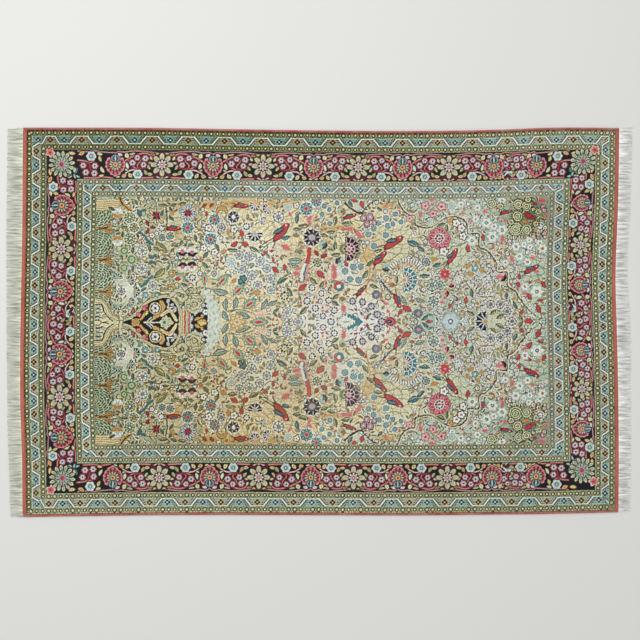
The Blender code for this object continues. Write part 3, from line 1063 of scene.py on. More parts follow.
# Soft patches of the ground's colour, on both halves: each fades out from its middle
GROUND_PATCHES = (
    # dye, x, y, reach along, reach across, strength
    ("mist", 250, 197.6, 120, 1.8, 0.95),
    ("ochre", 180, 204, 60, 5, 0.95),
    ("gold", 138, 240, 8, 6, 0.75),
    ("gold", 139, 278, 7, 6, 0.75),
    ("gold", 262, 203, 50, 5, 0.75),
    ("gold", 175, 232, 9, 5, 0.65),
    ("ochre", 197, 222, 6, 10, 0.75),
    ("ochre", 225, 232, 9, 6, 0.65),
    ("gold", 330, 228, 26, 4, 0.75),
    ("gold", 388, 204, 10, 6, 0.85),
    ("gold", 365, 258, 14, 18, 0.6),
    ("ochre", 300, 262, 18, 14, 0.6),
    ("peach", 330, 284, 16, 12, 0.55),
    ("celadon", 121, 228, 7, 9, 0.7),
    ("mist", 108, 250, 14, 60, 0.35),
    ("mist", 150, 205, 40, 14, 0.35),
    ("mist", 360, 205, 14, 9, 0.7),
    ("white", 255, 262, 30, 22, 0.9),
    ("white", 215, 240, 16, 14, 0.85),
    ("white", 127, 290, 14, 14, 0.85),
    ("rose", 262, 312, 14, 12, 0.25),
    ("white", 366, 318, 24, 20, 0.95),
    ("white", 320, 318, 22, 18, 0.85),
    ("white", 345, 273, 18, 14, 0.85),
    ("grey", 440, 318, 30, 22, 0.3),
    ("mist", 445, 320, 28, 16, 0.5),
    ("cloud", 488, 276, 7, 10, 0.9),
    ("sand", 500, 250, 12, 8, 0.7),
    ("sand", 484, 304, 6, 8, 0.7),
    ("khaki", 530, 215, 24, 26, 0.95),
    ("slate", 532, 212, 22, 24, 0.45),
)

# The field's motifs in its far half, by kind. Each place is x, y, size and, if turned, its turn in degrees
FIELD_MOTIFS = (
    # motif, dyes, places
    (rosette, ("reed", "celadon", "cloud", 10), ((129.7, 217.6, 5.4), (130, 238.6, 5.6))),
    (rosette, ("reed", "mist", "grey"), (
        (432, 285, 6.3), (433.5, 301.5, 5.3), (440, 285.5, 4.6), (426, 262, 4.2), (170, 236, 4),
        (162, 237.5, 3.6),
    )),
    (rosette, ("ink", "celadon", "gold"), ((134, 227.5, 4.6), (317.5, 262.5, 4.6))),
    (rosette, ("ink", "white", "grey"), ((278.6, 217, 5.6), (221.3, 227.2, 4.2), (121.4, 291.4, 4))),
    (petalled, ("ink", "beige", "crimson"), ((156.5, 215.7, 9.6),)),
    (petalled, ("ink", "cloud", "crimson"), ((188, 213, 9, 10),)),
    (rosette, ("teal", "white", "coral"), (
        (142.5, 250.8, 5), (142.5, 268.6, 5), (152.7, 285.8, 4.6), (145, 295.2, 3.6),
    )),
    (rosette, ("teal", "white", "pink"), (
        (239.4, 255.2, 4.6), (249.6, 256.2, 4.8), (259.8, 261.3, 4.5), (266.8, 268.3, 4.4),
        (251.9, 275.3, 4.8), (241.7, 269.3, 4.5), (270.7, 279.1, 4.6), (257.6, 285.1, 4.6),
        (271, 290, 4.3), (298.3, 322.4, 4.8), (286.9, 312.5, 4.8), (213.9, 273.7, 3.2),
    )),
    (rosette, ("aqua", "white", "rose"), ((231.5, 262.6, 4.7), (288, 207, 3.6), (452, 206, 3.6))),
    (rosette, ("teal", "mist", "lilac"), (
        (345, 271, 3.5), (353.5, 267, 3.4), (361, 266.7, 3.3), (350, 279.3, 3.3), (358.5, 280, 3.5),
        (368.5, 234.5, 3.2), (373.5, 228.5, 3.2), (378.5, 223.3, 3), (374, 246, 3.2), (386, 218, 3.2),
        (388, 226, 3), (386, 235, 3.2), (395, 214, 2.8), (393, 224, 2.6), (401, 222, 2.6),
        (322, 214.5, 2.7), (330, 223.5, 2.6), (329.5, 209.5, 2.5), (337, 203, 2.6), (324, 206, 2.6),
    )),
    (blossom, ("cloud", "slate", "white"), ((450.6, 321.6, 8),)),
    (rosette, ("ink", "white", "slate"), (
        (490.6, 304.3, 4.5), (500.4, 304.7, 4.2), (507.2, 311.3, 4.2), (512.2, 321.1, 4.5),
    )),
    (daisy, ("teal", "mist", "red"), (
        (214.6, 219.5, 5.6), (210.7, 239, 6), (187.8, 227.8, 5.8), (306.4, 208.8, 6.4), (316.5, 201, 5.4),
    )),
    (daisy, ("black", "lilac", "white", 7), ((233.5, 217, 5.8),)),
    (half_daisy, ("black", "cloud", "gold", 11), ((485.5, 321.3, 10, 180),)),
    (daisy, ("black", "mauve", "lilac", 9), ((312, 237.3, 8.6),)),
    (petalled, ("wine", "pink", "crimson", ("red", "coral")), (
        (439.4, 238.4, 12), (439.4, 238.4, 11, 22),
    )),
    (dotted_ring, ("ink", "white"), ((439.4, 238.4, 4.6),)),
    (bud, ("crimson", "pink"), ((439.4, 238.4, 2),)),
    (half_daisy, ("black", "white", "lilac", 9), (
        (255, 205.5, 5.5, 120), (268, 208.5, 5.6, 150), (264.5, 221, 4.4, 200), (255, 234, 7.4, 90),
    )),
    (half_daisy, ("ink", "mist", "gold", 9), (
        (117.6, 278, 5, -90), (129, 281, 5, -30), (134.5, 291.6, 5.6), (129.5, 301.8, 5, 30),
        (117.6, 305.6, 5, 90),
    )),
    (half_daisy, ("black", "mauve", "crimson"), ((347.5, 249, 12),)),
    (dotted_ring, ("black", "rose"), ((349, 248.8, 5.4),)),
    (half_daisy, ("teal", "white", "sand"), ((405, 279.8, 12.5),)),
    (half_daisy, ("black", "white", "gold"), ((404.5, 279.8, 8),)),
    (dotted_ring, ("black", "white"), (
        (312, 287.4, 3.9), (321.3, 293.3, 3.8), (307, 301.2, 4.1), (315.3, 308.3, 3.9), (328.8, 300.2, 4),
        (334.3, 310.4, 3.9), (323, 316.2, 3.8), (331, 322.3, 3.9), (192.5, 277.5, 3.9),
        (161.6, 228.4, 3.7), (540, 226.5, 4), (246.4, 226.5, 3.9),
    )),
    (dotted_ring, ("black", "lilac"), (
        (352.7, 301.3, 3.8), (362.5, 302.1, 3.7), (371.3, 306.4, 3.8), (377.2, 314.4, 4),
        (381.7, 322.2, 4.2),
    )),
    (dotted_ring, ("reed", "cream"), ((284.4, 295.9, 4.6), (426, 284, 3), (388, 297, 3.6))),
    (cupped, ("navy", "white", "coral"), (
        (182.6, 251.4, 5, 90), (192, 252, 5, 90), (182.6, 267.3, 5, -90), (192, 266.4, 5, -90),
    )),
    (cupped, ("gold", "white", "mist"), ((117.6, 213, 5.2, 90), (117.6, 241, 5.2, -90))),
    (cupped, ("teal", "red", "white"), ((338.9, 286.2, 5, 50),)),
    (cupped, ("slate", "slate", "pink"), ((376, 294.6, 4.2, 200), (418.5, 313.4, 4.4, 160))),
    (cupped, ("black", "rose", "red"), (
        (451.5, 284.8, 3.2, 70), (502.5, 277, 4.2, 30), (446, 293.5, 3.2),
    )),
    (cupped, ("amber", "celadon", "teal"), (
        (296.5, 234, 3.4, 100), (342, 211.5, 3.6), (342.5, 300, 3.4, -90), (300, 253, 3.6, -90),
    )),
    (cupped, ("brown", "mist", "teal"), (
        (323.6, 245, 4, 30), (339.5, 261, 4.2, 200), (386.5, 268, 4, 90),
    )),
    (crescent, ("ochre", "black"), (
        (221.9, 211.5, 5.4, -90), (172, 273.5, 3.4, 40), (171.5, 287.5, 3.4, -60),
    )),
    (crescent, ("moss", "khaki"), ((344, 249, 4.6, 180),)),
    (crescent, ("teal", "slate"), ((429, 318, 4, 200),)),
    (bud, ("teal", "ink"), (
        (150.5, 256.6, 2.6, 40), (154.6, 256, 2.2, -40), (150.5, 262.6, 2.6, -40),
        (154.6, 263.2, 2.2, 40), (139.5, 213, 3.6, 60), (143.5, 210.5, 2.6, -10), (149, 246, 2.2, 90),
        (149, 273, 2.2, 90),
    )),
    (bud, ("black", "black"), (
        (217.6, 257.3, 1.1, 40), (211.5, 263, 1.1), (215.1, 265.6, 1.2, 30), (219.3, 268, 1.1, 60),
        (223.8, 263.5, 1.1, -30), (213.2, 258.4, 1, -40), (220.6, 260.6, 1, 10), (209.5, 267, 1, 90),
    )),
    (bud, ("coral", "ink"), ((200.6, 259.8, 2.7),)),
    (blade, ("green", "khaki", "ink"), (
        (205.4, 254.6, 4.2, -50), (205.4, 265.2, 4.2, 50), (162, 213, 3.4, -60), (171, 209, 3.2, 60),
        (171.5, 218, 3.2, 50), (161.5, 205.6, 3.2, 20), (173.5, 204.6, 3.6, -20), (196, 238, 3.8, 80),
    )),
    (bud, ("crimson", "wine"), (
        (147.6, 223.3, 3, 60), (147.6, 231.6, 3, -60), (152.7, 227.4, 2.8), (204.4, 205.2, 2.9, -40),
        (211.7, 205.2, 2.9, -40), (316.5, 253, 3.4, 60), (324, 256, 4, -30), (367.5, 317.5, 2.2, 110),
        (356, 309.5, 1.8, 30), (361.5, 314, 2, 60), (392.5, 285, 3.6, 10), (457, 299.3, 2.4, 90),
    )),
    (bud, ("red", "wine"), (
        (206.6, 213.8, 2.7, 80), (241.7, 233.6, 4, 90), (234.4, 244.2, 4.4, 150), (245, 244.2, 4.4, -150),
        (265.3, 252.7, 3, -50), (271.8, 250.8, 2.6), (273, 259.7, 2.6, 80), (275.4, 270, 4.4, 40),
        (284.6, 267.3, 3.2, 80), (346, 264, 2.9, 60), (320.5, 274.2, 5.2, 40), (302.3, 287.4, 5, -40),
        (354, 200.5, 3.6), (362, 204.4, 4, 70), (429.6, 321.8, 2.9), (450, 305.5, 2.7, 90),
        (466, 300, 3.6, 90), (468, 248.5, 4.2, 80), (483, 237.5, 3.6, 90), (521.4, 312.4, 3.6, -60),
        (528.6, 321.1, 5), (406.5, 308.4, 5.4, 30), (400.5, 312, 3.4, 130), (519.5, 276.5, 3, 90),
        (543.8, 284.5, 4, 60), (518.5, 285, 3.4, 40), (529.5, 282.5, 2.6), (529, 296.5, 4.2, 50),
        (538.5, 308.5, 4.6, 70), (540, 300.5, 2.8), (177.5, 278.8, 3.2), (534.5, 204, 2.4),
        (540, 209, 2.4), (528.6, 215.5, 5, 30), (533, 218, 3.2),
    )),
    (bud, ("coral", "pink"), (
        (286.3, 225.3, 3.8, 20), (290, 214.4, 2.4, 60), (334, 268.5, 4.6, 80), (334.5, 275, 4.8, -80),
        (286, 247.5, 5.4, 30), (296.5, 273.5, 4, 10), (298, 268.3, 3.4, -20), (420.5, 214.5, 3.6, 100),
        (442.5, 302.3, 2.8), (386, 303.5, 2.4), (388, 311.5, 2.6, 60), (343.5, 308.5, 4.4, 85),
        (344.5, 314.5, 4.4, 85), (505.5, 221, 2.6), (485, 211.5, 2.8), (512, 258.8, 3.6, 80),
        (502.5, 238.5, 3.6, 90), (524.5, 293.5, 3, 30), (532.5, 257.5, 2.6), (471, 219.5, 2.6),
        (546.5, 216.5, 2.4, 90), (542, 200.5, 4.4), (432, 199.5, 3.4), (309.5, 218, 3.2, -30),
        (309.5, 223, 3.4, 80), (499, 276.5, 3.2), (537, 271.5, 2.4),
    )),
    (bud, ("gold", "amber"), (
        (223.8, 251.4, 3.6, -20), (234, 280.7, 3.4, -40), (257, 292.7, 4.2, -10), (228.3, 231.6, 3.4, 90),
        (172.4, 212.5, 3.6, -50), (198.3, 318.8, 3.2, -50), (434.5, 259.2, 3.6), (451.5, 220.5, 4.6, -15),
        (471, 273.5, 3.2, 20), (477.5, 262.5, 3.2, -40), (481.5, 270, 3.2, 30), (468.5, 265.5, 3.2, 120),
        (538, 281, 3), (525, 221.5, 3.6, 20), (349, 222.5, 2.4, -20), (164, 255, 2.4, 30),
    )),
    (blade, ("teal", "aqua", "ink"), (
        (112, 208.5, 3.4, 30), (285.7, 237.4, 4.6, -14), (297.5, 218.5, 4.6, 100), (380, 209, 3, 40),
        (282, 281, 5.4, 150), (414, 243, 7, 20), (421, 248.5, 4.6, 40), (424.5, 275.5, 5.2),
        (184.5, 284.5, 3.6, 20), (515.5, 305, 4, 60), (507, 296, 3.4, 90), (425, 317.6, 3.8, -40),
        (472, 293, 4.4, 80), (164.5, 250, 4, 30), (150, 248.5, 3, 90), (133.2, 250.2, 3, 90),
        (133.2, 269, 3, 90), (276, 310.2, 3, -30), (275.5, 314.4, 2.8, 40), (437, 264.5, 4.6, -20),
        (350.5, 203.5, 3.6, 60),
    )),
    (blade, ("moss", "cream", "ink"), (
        (253.8, 248.8, 5, 24), (232.4, 249.6, 4.6, 4), (303.5, 225.5, 5.2, -8), (297, 229, 4),
        (347, 223.4, 5.4), (335.8, 221, 4.6, 100), (324.5, 235, 3.8, 20), (331, 231.6, 4, -10),
        (334.8, 245.5, 4.6, -80), (336, 254.4, 4.6, -10), (374, 286, 4.2, 20), (365, 274.5, 4.8, -55),
        (217.4, 247, 4, 60), (313.5, 280.5, 4.6, 40), (335.3, 296.5, 4, -40), (335.3, 303, 4, 40),
        (321.5, 284.3, 3.6, -60), (303, 310.5, 4.6, -50), (378, 250.5, 4.2, -10), (357.5, 255, 4, -50),
        (370, 263, 4, -40), (290, 292, 4.8, 60), (397, 280, 3.6, 90), (447, 228, 3.8, 90),
        (425, 226, 3.6, 10), (441, 224.8, 4.6, -20), (140, 301.6, 4, -40), (157.8, 293.3, 3.2),
        (164, 205, 4.2, 10), (182, 203.6, 4, -10), (471, 313, 4.2, 30), (500, 316, 4.4, -30),
        (521, 318, 3.6, 60), (493, 312, 3.6, -40),
    )),
    (blade, ("khaki", "straw", "ink"), ((161.5, 246, 7, 40), (159.5, 272.6, 7.4, -40), (157, 249, 4, 30))),
    (blade, ("sage", "mist", "ink"), (
        (220, 291.4, 8, 14), (226, 304.5, 6, 90), (235, 303, 6.2, -78), (225.5, 315.5, 5.8, 60),
        (243, 314.6, 7.6, 20), (264, 304.5, 6, -60), (272, 303, 5, -30), (295.5, 260, 7.2),
        (293, 265, 5.6, 10), (420, 300, 5, 20), (404, 300, 5, 60),
    )),
    (spindle, ("red", "green"), (
        (204.4, 279, 6.4, -90), (222.2, 280.7, 8.2, -50), (238, 290.7, 8, -45), (249.4, 304.2, 8.4, -38),
        (258.8, 322, 9),
    )),
    (bird, ("red", "wine", "amber"), (
        (173.5, 228, 12), (241.5, 205.2, 12), (280.5, 232, 21, -50), (349.5, 216, 11, -20),
        (393, 242, 20, -32), (379.5, 258, 16, -48), (397.8, 300.6, 13, 66), (451.8, 256, 16, -58),
        (361, 290.5, 11, -46), (531, 269, 14, -28), (506, 211.8, 9, -14),
    )),
    (outlined, ("ink", "white", "amber"), (
        (208.5, 227.8, 3.6), (203.7, 247.6, 3.4), (214.9, 252, 3.6), (234, 229, 3.8), (296.5, 205.5, 3),
        (394, 272, 3.4), (463, 236.2, 3.8), (456.5, 223, 4), (461.5, 228, 4), (152, 235.5, 2.6),
        (444, 251.5, 4.4),
    )),
    (dotted_ring, ("green", "celadon", 10), ((124.3, 250.8, 3.8), (131.6, 259.7, 4.6), (124, 268, 3.8))),
    (outlined, ("salmon", "rose", "crimson"), (
        (425.5, 206, 4.2), (441.5, 206.5, 4.2, 30), (433, 213.5, 3.8, -30), (409.5, 218.5, 3.2),
    )),
    (outlined, ("coral", "red", "pink", 8), ((445, 274, 4.8),)),
    (outlined, ("teal", "aqua", "white"), ((475, 268.2, 3),)),
    (outlined, ("ink", "teal", "moss"), ((243, 278.8, 3.6), (240.5, 281.5, 2.4))),
    (outlined, ("brown", "mauve", "cloud", 7), (
        (363.5, 218, 3.4), (370, 217, 3.8), (367, 224, 3.2), (374, 222.5, 2.6),
    )),
    (dash_mark, ("brown", "beige"), (
        (352, 222, 3.6, 60), (357.5, 219.5, 3.6, 20), (360, 226, 3.6, -30), (355, 230, 3, 70),
    )),
    (outlined, ("ochre", "sand", "mauve", 8), ((237.2, 322.2, 7.4), (237.2, 322.2, 4.4, 20))),
    (blossom, ("white", "slate", "mist"), (
        (486.5, 223, 5), (492.5, 236.8, 5.4), (502, 230, 5), (537, 291.6, 6), (519.5, 256.5, 4),
        (540, 243, 3.4), (477.5, 207.8, 3.4), (516, 246.5, 4.4), (472, 240.6, 5),
    )),
    (blossom, ("white", "crimson", "rose"), (
        (525, 286.6, 3.8), (494, 226.5, 3.4), (461, 204.4, 3.4), (475.5, 219, 3.4), (505.4, 262.5, 3.2),
        (527.5, 262, 3.4),
    )),
    (blossom, ("white", "gold", "amber"), (
        (502, 200.2, 3.6), (529, 240, 3), (524, 244.3, 3), (530, 247, 3), (542.5, 248.6, 4.4),
    )),
    (swirl, ("ink", "celadon"), ((515.5, 229, 6.6), (527, 229.5, 5.6), (491.5, 203.5, 4.4))),
    (swirl, ("black", "beige"), (
        (517.5, 216.5, 5.4), (500.5, 206.6, 3.6), (518.5, 204.5, 4.6), (536, 224, 3.6),
        (526.5, 206.5, 4.4), (538.5, 212, 3.8), (511, 222, 3), (528, 199.5, 3),
    )),
)

# Fine stems of the ground: dye, waves in radians for each unit along and across, half their width, strength
TRACERY = (
    ("cream", 0.2, 0.23, 2.6, 0.45),
    ("olive", 0.31, 0.27, 0.3, 0.7),
    ("fern", 0.37, 0.33, 0.25, 0.6),
)

# Small things strewn between the motifs: where, how close, and what may stand there
FILLERS = (
    # low x, high x, low y, high y, step, choices of motif, smallest and largest size, dyes
    (110, 205, 199, 322, 3.9, (
        (blade, 2, 3.4, ("celadon", "white", "fern")),
        (blade, 1.8, 3, ("moss", "cream", "ink")),
        (blade, 2, 3.2, ("teal", "mist", "reed")),
        (outlined, 1.6, 2.5, ("reed", "cream", "ochre")),
        (outlined, 1.5, 2.4, ("ink", "white", "teal")),
        (dash_mark, 2, 3.4, ("brown", "white")),
        (dash_mark, 2, 3.4, ("fern", "mist")),
        (dash_mark, 2, 3.2, ("ink", "cream")),
        (blade, 1.7, 2.6, ("ochre", "sand", "bark")),
    )),
    (205, 300, 199, 322, 4.3, (
        (blade, 1.8, 2.9, ("green", "white", "fern")),
        (blade, 1.7, 2.6, ("celadon", "cream", "reed")),
        (outlined, 1.4, 2.2, ("ink", "white", "gold")),
        (dash_mark, 1.8, 3, ("olive", "white")),
        (dash_mark, 1.6, 2.8, ("ink", "white")),
        (bud, 1, 1.6, ("coral", "wine")),
        (blade, 1.5, 2.3, ("ochre", "sand", "brown")),
        (outlined, 1.3, 2, ("fern", "white", "rose")),
    )),
    (300, 412, 199, 321, 4.3, (
        (blade, 1.8, 2.8, ("green", "white", "ink")),
        (blade, 1.7, 2.6, ("beige", "cream", "reed")),
        (outlined, 1.4, 2.2, ("ink", "white", "teal")),
        (dash_mark, 1.8, 3, ("olive", "white")),
        (dash_mark, 1.6, 2.8, ("brown", "white")),
        (bud, 1.1, 1.8, ("coral", "crimson")),
        (outlined, 1.3, 2, ("slate", "white", "rose")),
        (blade, 1.5, 2.3, ("gold", "sand", "brown")),
    )),
    (412, 546, 216, 321, 4.1, (
        (blade, 1.8, 2.8, ("beige", "white", "ink")),
        (outlined, 1.5, 2.4, ("ink", "white", "slate")),
        (outlined, 1.4, 2.3, ("reed", "white", "coral")),
        (dash_mark, 2, 3.4, ("black", "white")),
        (dash_mark, 2, 3.4, ("reed", "white")),
        (dotted_ring, 1.8, 2.6, ("ink", "white", 6)),
        (bud, 1, 1.6, ("salmon", "crimson")),
        (blade, 1.5, 2.3, ("ochre", "sand", "olive")),
    )),
    (412, 508, 199, 216, 5.2, (
        (blossom, 1.6, 2.6, ("white", "salmon", "rose")),
        (outlined, 1.5, 2.2, ("slate", "white", "mist")),
        (bud, 1.1, 1.7, ("salmon", "coral")),
        (dash_mark, 1.5, 2.4, ("fern", "white")),
        (dash_mark, 1.5, 2.4, ("slate", "white")),
    )),
    (506, 547, 198, 238, 3, (
        (outlined, 1.6, 2.5, ("black", "cream", "olive")),
        (dash_mark, 2, 3.4, ("black", "celadon")),
        (dash_mark, 2, 3.4, ("reed", "cream")),
        (outlined, 1.4, 2.2, ("ink", "rose", "crimson")),
        (dotted_ring, 1.6, 2.2, ("black", "khaki", 5)),
        (blade, 1.6, 2.6, ("olive", "cream", "black")),
    )),
)

# Where one half of the field has taken on another dye
FIELD_TINTS = (
    # dye, x, y, reach along, reach across, share
    ("ochre", 235, 395, 75, 50, 0.28),
    ("mist", 340, 380, 60, 45, 0.14),
)

# Painted shade on the field: each patch fades out from its middle, where it leaves a middle tone this share
FIELD_PAINTED_SHADES = (
    # x, y, reach along, reach across, tone
    (110, 225, 80, 60, 0.78),
    (100, 400, 100, 90, 0.68),
    (240, 400, 70, 60, 0.76),
    (532, 213, 22, 24, 0.66),
    (550, 330, 26, 110, 0.84),
    (480, 420, 90, 40, 0.84),
)

# Stems of the far half: dye, width, and the places that each passes through
STEMS = (
    ("black", 1.3, ((166.5, 227), (167.2, 216), (166, 208), (170, 203.5))),
    ("ink", 0.8, ((167, 212), (172, 210), (176, 205))),
    ("teal", 2.4, ((140, 232), (144.5, 236), (148, 241), (152.5, 244.5))),
    ("teal", 2.4, ((141.5, 286.5), (146, 282.5), (149, 279), (153, 276.5))),
    ("red", 4.4, ((309.4, 249), (308.6, 257), (306, 266))),
    ("coral", 4, ((343, 229), (349, 228.6), (355, 231), (360, 236.5))),
    ("grey", 4.2, ((306, 265), (303.6, 272), (303, 281))),
    ("white", 2.6, ((304.6, 264), (302.2, 272), (301.6, 280))),
    ("pink", 1.4, ((308, 268), (306.6, 275), (306, 282))),
    ("ink", 0.6, ((306.4, 266), (304.6, 273), (304.2, 281))),
    ("olive", 0.8, ((162, 259.4), (176, 259.2), (190, 259.6), (200, 259.6))),
    ("khaki", 0.9, ((161, 289.5), (172, 287), (184, 291.5), (194, 291))),
    ("gold", 0.9, ((214, 300), (224, 296), (232, 300), (243, 298))),
    ("olive", 0.7, ((218, 318), (228, 311), (240, 310), (252, 313))),
    ("brown", 0.8, ((262, 240), (268, 246), (262, 254), (268, 262), (276, 262))),
    ("brown", 2.2, ((345, 203), (351, 208.5), (358, 212.5), (362, 213))),
    ("brown", 1.2, ((362, 213), (367, 206.5), (373, 201.5), (378, 200))),
    ("gold", 1.2, ((366, 292), (368, 280), (370, 268), (364, 256), (368, 244))),
    ("olive", 0.8, ((346, 282), (353, 285.6), (362, 284), (368, 279))),
    ("brown", 1.4, ((381, 281), (386, 287), (392, 294))),
    ("grey", 1, ((386, 289), (392, 296), (397, 306), (392, 312))),
    ("ink", 0.7, ((434, 272), (441, 266), (446, 262))),
    ("ink", 0.7, ((437, 274), (444, 268), (448, 263))),
    ("ink", 0.8, ((267, 246), (259, 247), (270, 240), (275, 237))),
    ("olive", 0.8, ((262, 250), (268, 244), (276, 240))),
    ("ink", 0.8, ((468, 241), (461, 245), (453, 246.5), (448, 250))),
    ("khaki", 1, ((420, 309), (436, 306.5), (452, 309), (466, 308))),
    ("olive", 0.7, ((452, 312), (454, 296), (452, 282), (458, 270))),
    ("gold", 0.8, ((345, 226), (332, 229), (322, 236), (330, 243), (338, 249))),
    ("gold", 0.8, ((296, 243), (304, 246), (316, 247), (330, 262), (332, 281))),
    ("olive", 0.7, ((376, 262), (388, 262), (400, 254), (414, 256), (426, 266))),
)


def middle_line(x):
    """Chart place of the line about which the field's two halves mirror each other."""
    (start, first), (stop, last) = MIDDLE_LINE
    return first + (last - first) * (x - start) / (stop - start)


def halves(x, y, turn=0.0):
    """The axis at a place of the far half and its mirror image, or one axis on the line between them."""
    middle = middle_line(x)
    if abs(y - middle) < 1.2:
        return [Axis(x, middle, turn)]
    return [Axis(x, y, turn), Axis(x, 2 * middle - y, -turn, -1)]


def mirrored_shape(x, c, outline):
    """Signed distance from a shape that mirrors about its axis, given its half heights along the axis."""
    line = curve_points(outline)
    away, _ = line_distance(x, np.abs(c), line)
    inside = np.abs(c) < np.interp(x, line[:, 0], line[:, 1], left=-1.0, right=-1.0)
    return np.where(inside, -away, away)


def stroke(chart, points, dye, width=0.8, edge=None, edge_width=0.5, taper=0.0):
    """A curved line through chart places of the far half, and its mirror image."""
    near = [(x, 2 * middle_line(x) - y) for x, y in points]
    for places in (points, near):
        vine(chart, Axis(0.0, 0.0), places, dye, width, edge, edge_width, taper)


def fall_off(x, y, reach_x, reach_y):
    """A share that is 1 at the middle and fades out as a bell curve."""
    return np.exp(-((x / reach_x) ** 2) - (y / reach_y) ** 2)


def draw_tracery(chart, half):
    """Fine winding stems over the whole ground: lines along which a sum of two waves is zero.

    Each wave bends with the place across the other, so that no two stems wind alike.
    """
    x = chart.drawn_x
    everywhere = np.s_[:, :]
    for dye, first, second, breadth, strength in TRACERY:
        value = np.sin(first * x + 2.2 * np.sin(second * half))
        value += np.sin(1.1 * second * half + 2.6 * np.sin(0.7 * first * x))
        slope = np.hypot(*np.gradient(value, half[1, 0] - half[0, 0], x[0, 1] - x[0, 0]))
        chart.dye(everywhere, np.abs(value) / np.maximum(slope, 0.05) - breadth, dye, 0.7, strength)


# Where along the field the ground's grey-green gives way to cream, and where its blue-green comes in
SAGE_STOP, SAGE_FADE = 235.0, 120.0
MIST_START, MIST_FADE = 360.0, 90.0
# The far border's line, which bounds the ground where the niche has none of its own
FIELD_FAR_SIDE = 150.0


def knot_ground(chart):
    """Cream ground, mint outside the niche and greyer inside its far end, with soft patches of other dyes."""
    x, y = chart.drawn_x, chart.drawn_y
    everywhere = np.s_[:, :]
    chart.colour[...] = DYE["ground"]
    chart.blend(everywhere, "sage", 0.85 * np.clip((SAGE_STOP - x) / SAGE_FADE, 0.0, 1.0))
    middle = middle_line(x)
    half = middle - np.abs(y - middle)
    chart.blend(everywhere, "mist", 0.7 * np.clip((x - MIST_START) / MIST_FADE, 0.0, 1.0))
    niche_x, niche_y = np.array(NICHE_LINE).T
    edge = np.interp(x, niche_x, niche_y, left=FIELD_FAR_SIDE)
    chart.dye(everywhere, half - edge, "mist", 1.5, 0.9)
    draw_tracery(chart, half)
    for dye, patch_x, patch_y, reach_x, reach_y, strength in GROUND_PATCHES:
        for spot in halves(patch_x, patch_y):
            wide, high = 2 * reach_x, 2 * reach_y
            where, px, py = chart.window(spot.x - wide, spot.x + wide, spot.y - high, spot.y + high)
            chart.blend(where, dye, strength * fall_off(px - spot.x, py - spot.y, reach_x, reach_y))


# The willows along the field's left end: their line, the roots of their branches, the reach of those along
# and across, how far apart the arches lie, and the trunks between
WILLOW_LINE = 95.0
WILLOW_ROOTS = (213.5, 244.7, 276, 306)
WILLOW_REACH = 14.8
WILLOW_STRETCH = 1.25
WILLOW_ARCH = 2.05
WILLOW_TRUNKS = (228.5, 260, 291.5)
TRUNK_BRANCHES = (
    # where its tip is along the field, how far it leans
    (112.5, 0.6), (113.5, 3.6), (112.5, -3.8), (110.5, 5.4), (110, -5.4),
)
TRUNK_CRACKS = (-2.6, -0.6, 1.8)
# The dark twig and the rows of pale ones in the field's far left corner
CORNER_TWIG = ((120, 197), (122, 203), (127, 208), (131, 211))
CORNER_ROWS = (200.4, 202.5, 204.6, 206.7, 208.8)


def knot_willows(chart):
    """Weeping branches along the field's left end: broken green arches, one in another, and gold trunks."""
    for root_y in WILLOW_ROOTS:
        for root in halves(WILLOW_LINE, root_y):
            where, a, c = chart.near(root, WILLOW_REACH * WILLOW_STRETCH + 2.0)
            away, turn = np.hypot(a / WILLOW_STRETCH, c), np.arctan2(c, a)
            shape = away - WILLOW_REACH - 0.9 * np.cos(turn * 9.0)
            chart.dye(where, shape, "celadon", 1.2, 0.5)
            bent = away + 0.35 * np.sin(turn * 5.0 + root.y)
            row = np.round(bent / WILLOW_ARCH)
            arch = np.maximum(np.abs(bent - row * WILLOW_ARCH) - 0.7, shape)
            broken = 0.9 * (np.sin(turn * (5.0 + row) * 1.3 + row * 2.3) > 0.86)
            chart.dye(where, arch + broken, "fern" if root_y < 250 else "reed", 0.8, 0.9)
            between = np.abs(bent - (row + 0.5) * WILLOW_ARCH) - 0.2
            chart.dye(where, np.maximum(between, shape), "mist", 0.8, 0.6)
    left = WILLOW_LINE
    for trunk in WILLOW_TRUNKS:
        for tip, lean in TRUNK_BRANCHES:
            points = ((left, trunk), (left + 7.5, trunk + lean * 0.12), (tip, trunk + lean))
            stroke(chart, points, "ochre", 1.5, "brown", 0.35, 0.2)
        for lean in TRUNK_CRACKS:
            points = ((left + 4, trunk), (left + 11, trunk + lean * 0.4), (left + 16.5, trunk + lean))
            stroke(chart, points, "brown", 0.5)
    for y in CORNER_ROWS:
        points = ((left, y), (left + 8, y + 0.6), (left + 16, y - 0.4), (left + 23, y + 0.2))
        stroke(chart, points, "cream", 1.1, "ochre", 0.5)
    stroke(chart, CORNER_TWIG, "brown", 1.8, "ochre", 1.4, 0.5)


# The vase: outlines as places along the field and half heights about its middle line
VASE_FOOT = (
    # x, half height
    (94, 21.2), (97.6, 20.9), (101.3, 20.4), (104.4, 17.3), (106.3, 13.9), (108.6, 9.1), (111.7, 5.5),
    (116.7, 3.2), (119, 2.4),
)
VASE_BODY = (
    # x, half height
    (123, 1.2), (125, 1.7), (130, 3.2), (135.5, 7.1), (141, 12.5), (146.5, 18), (152, 21.7), (157, 23.5),
    (163, 25), (168, 24.8), (171, 23.8), (174, 20.8), (176.7, 16.4), (178.6, 11), (179.1, 0),
)
VASE_MOUTH = ((190.5, 10), (194, 10.5), (199, 13), (204, 19), (208, 24), (208.4, 0))

VASE_COLLARS = (
    # from x, to x, half height, dye
    (182, 183.3, 12.4, "gold"),
    (184.1, 186, 12, "red"),
    (188, 190.1, 9.7, "salmon"),
)

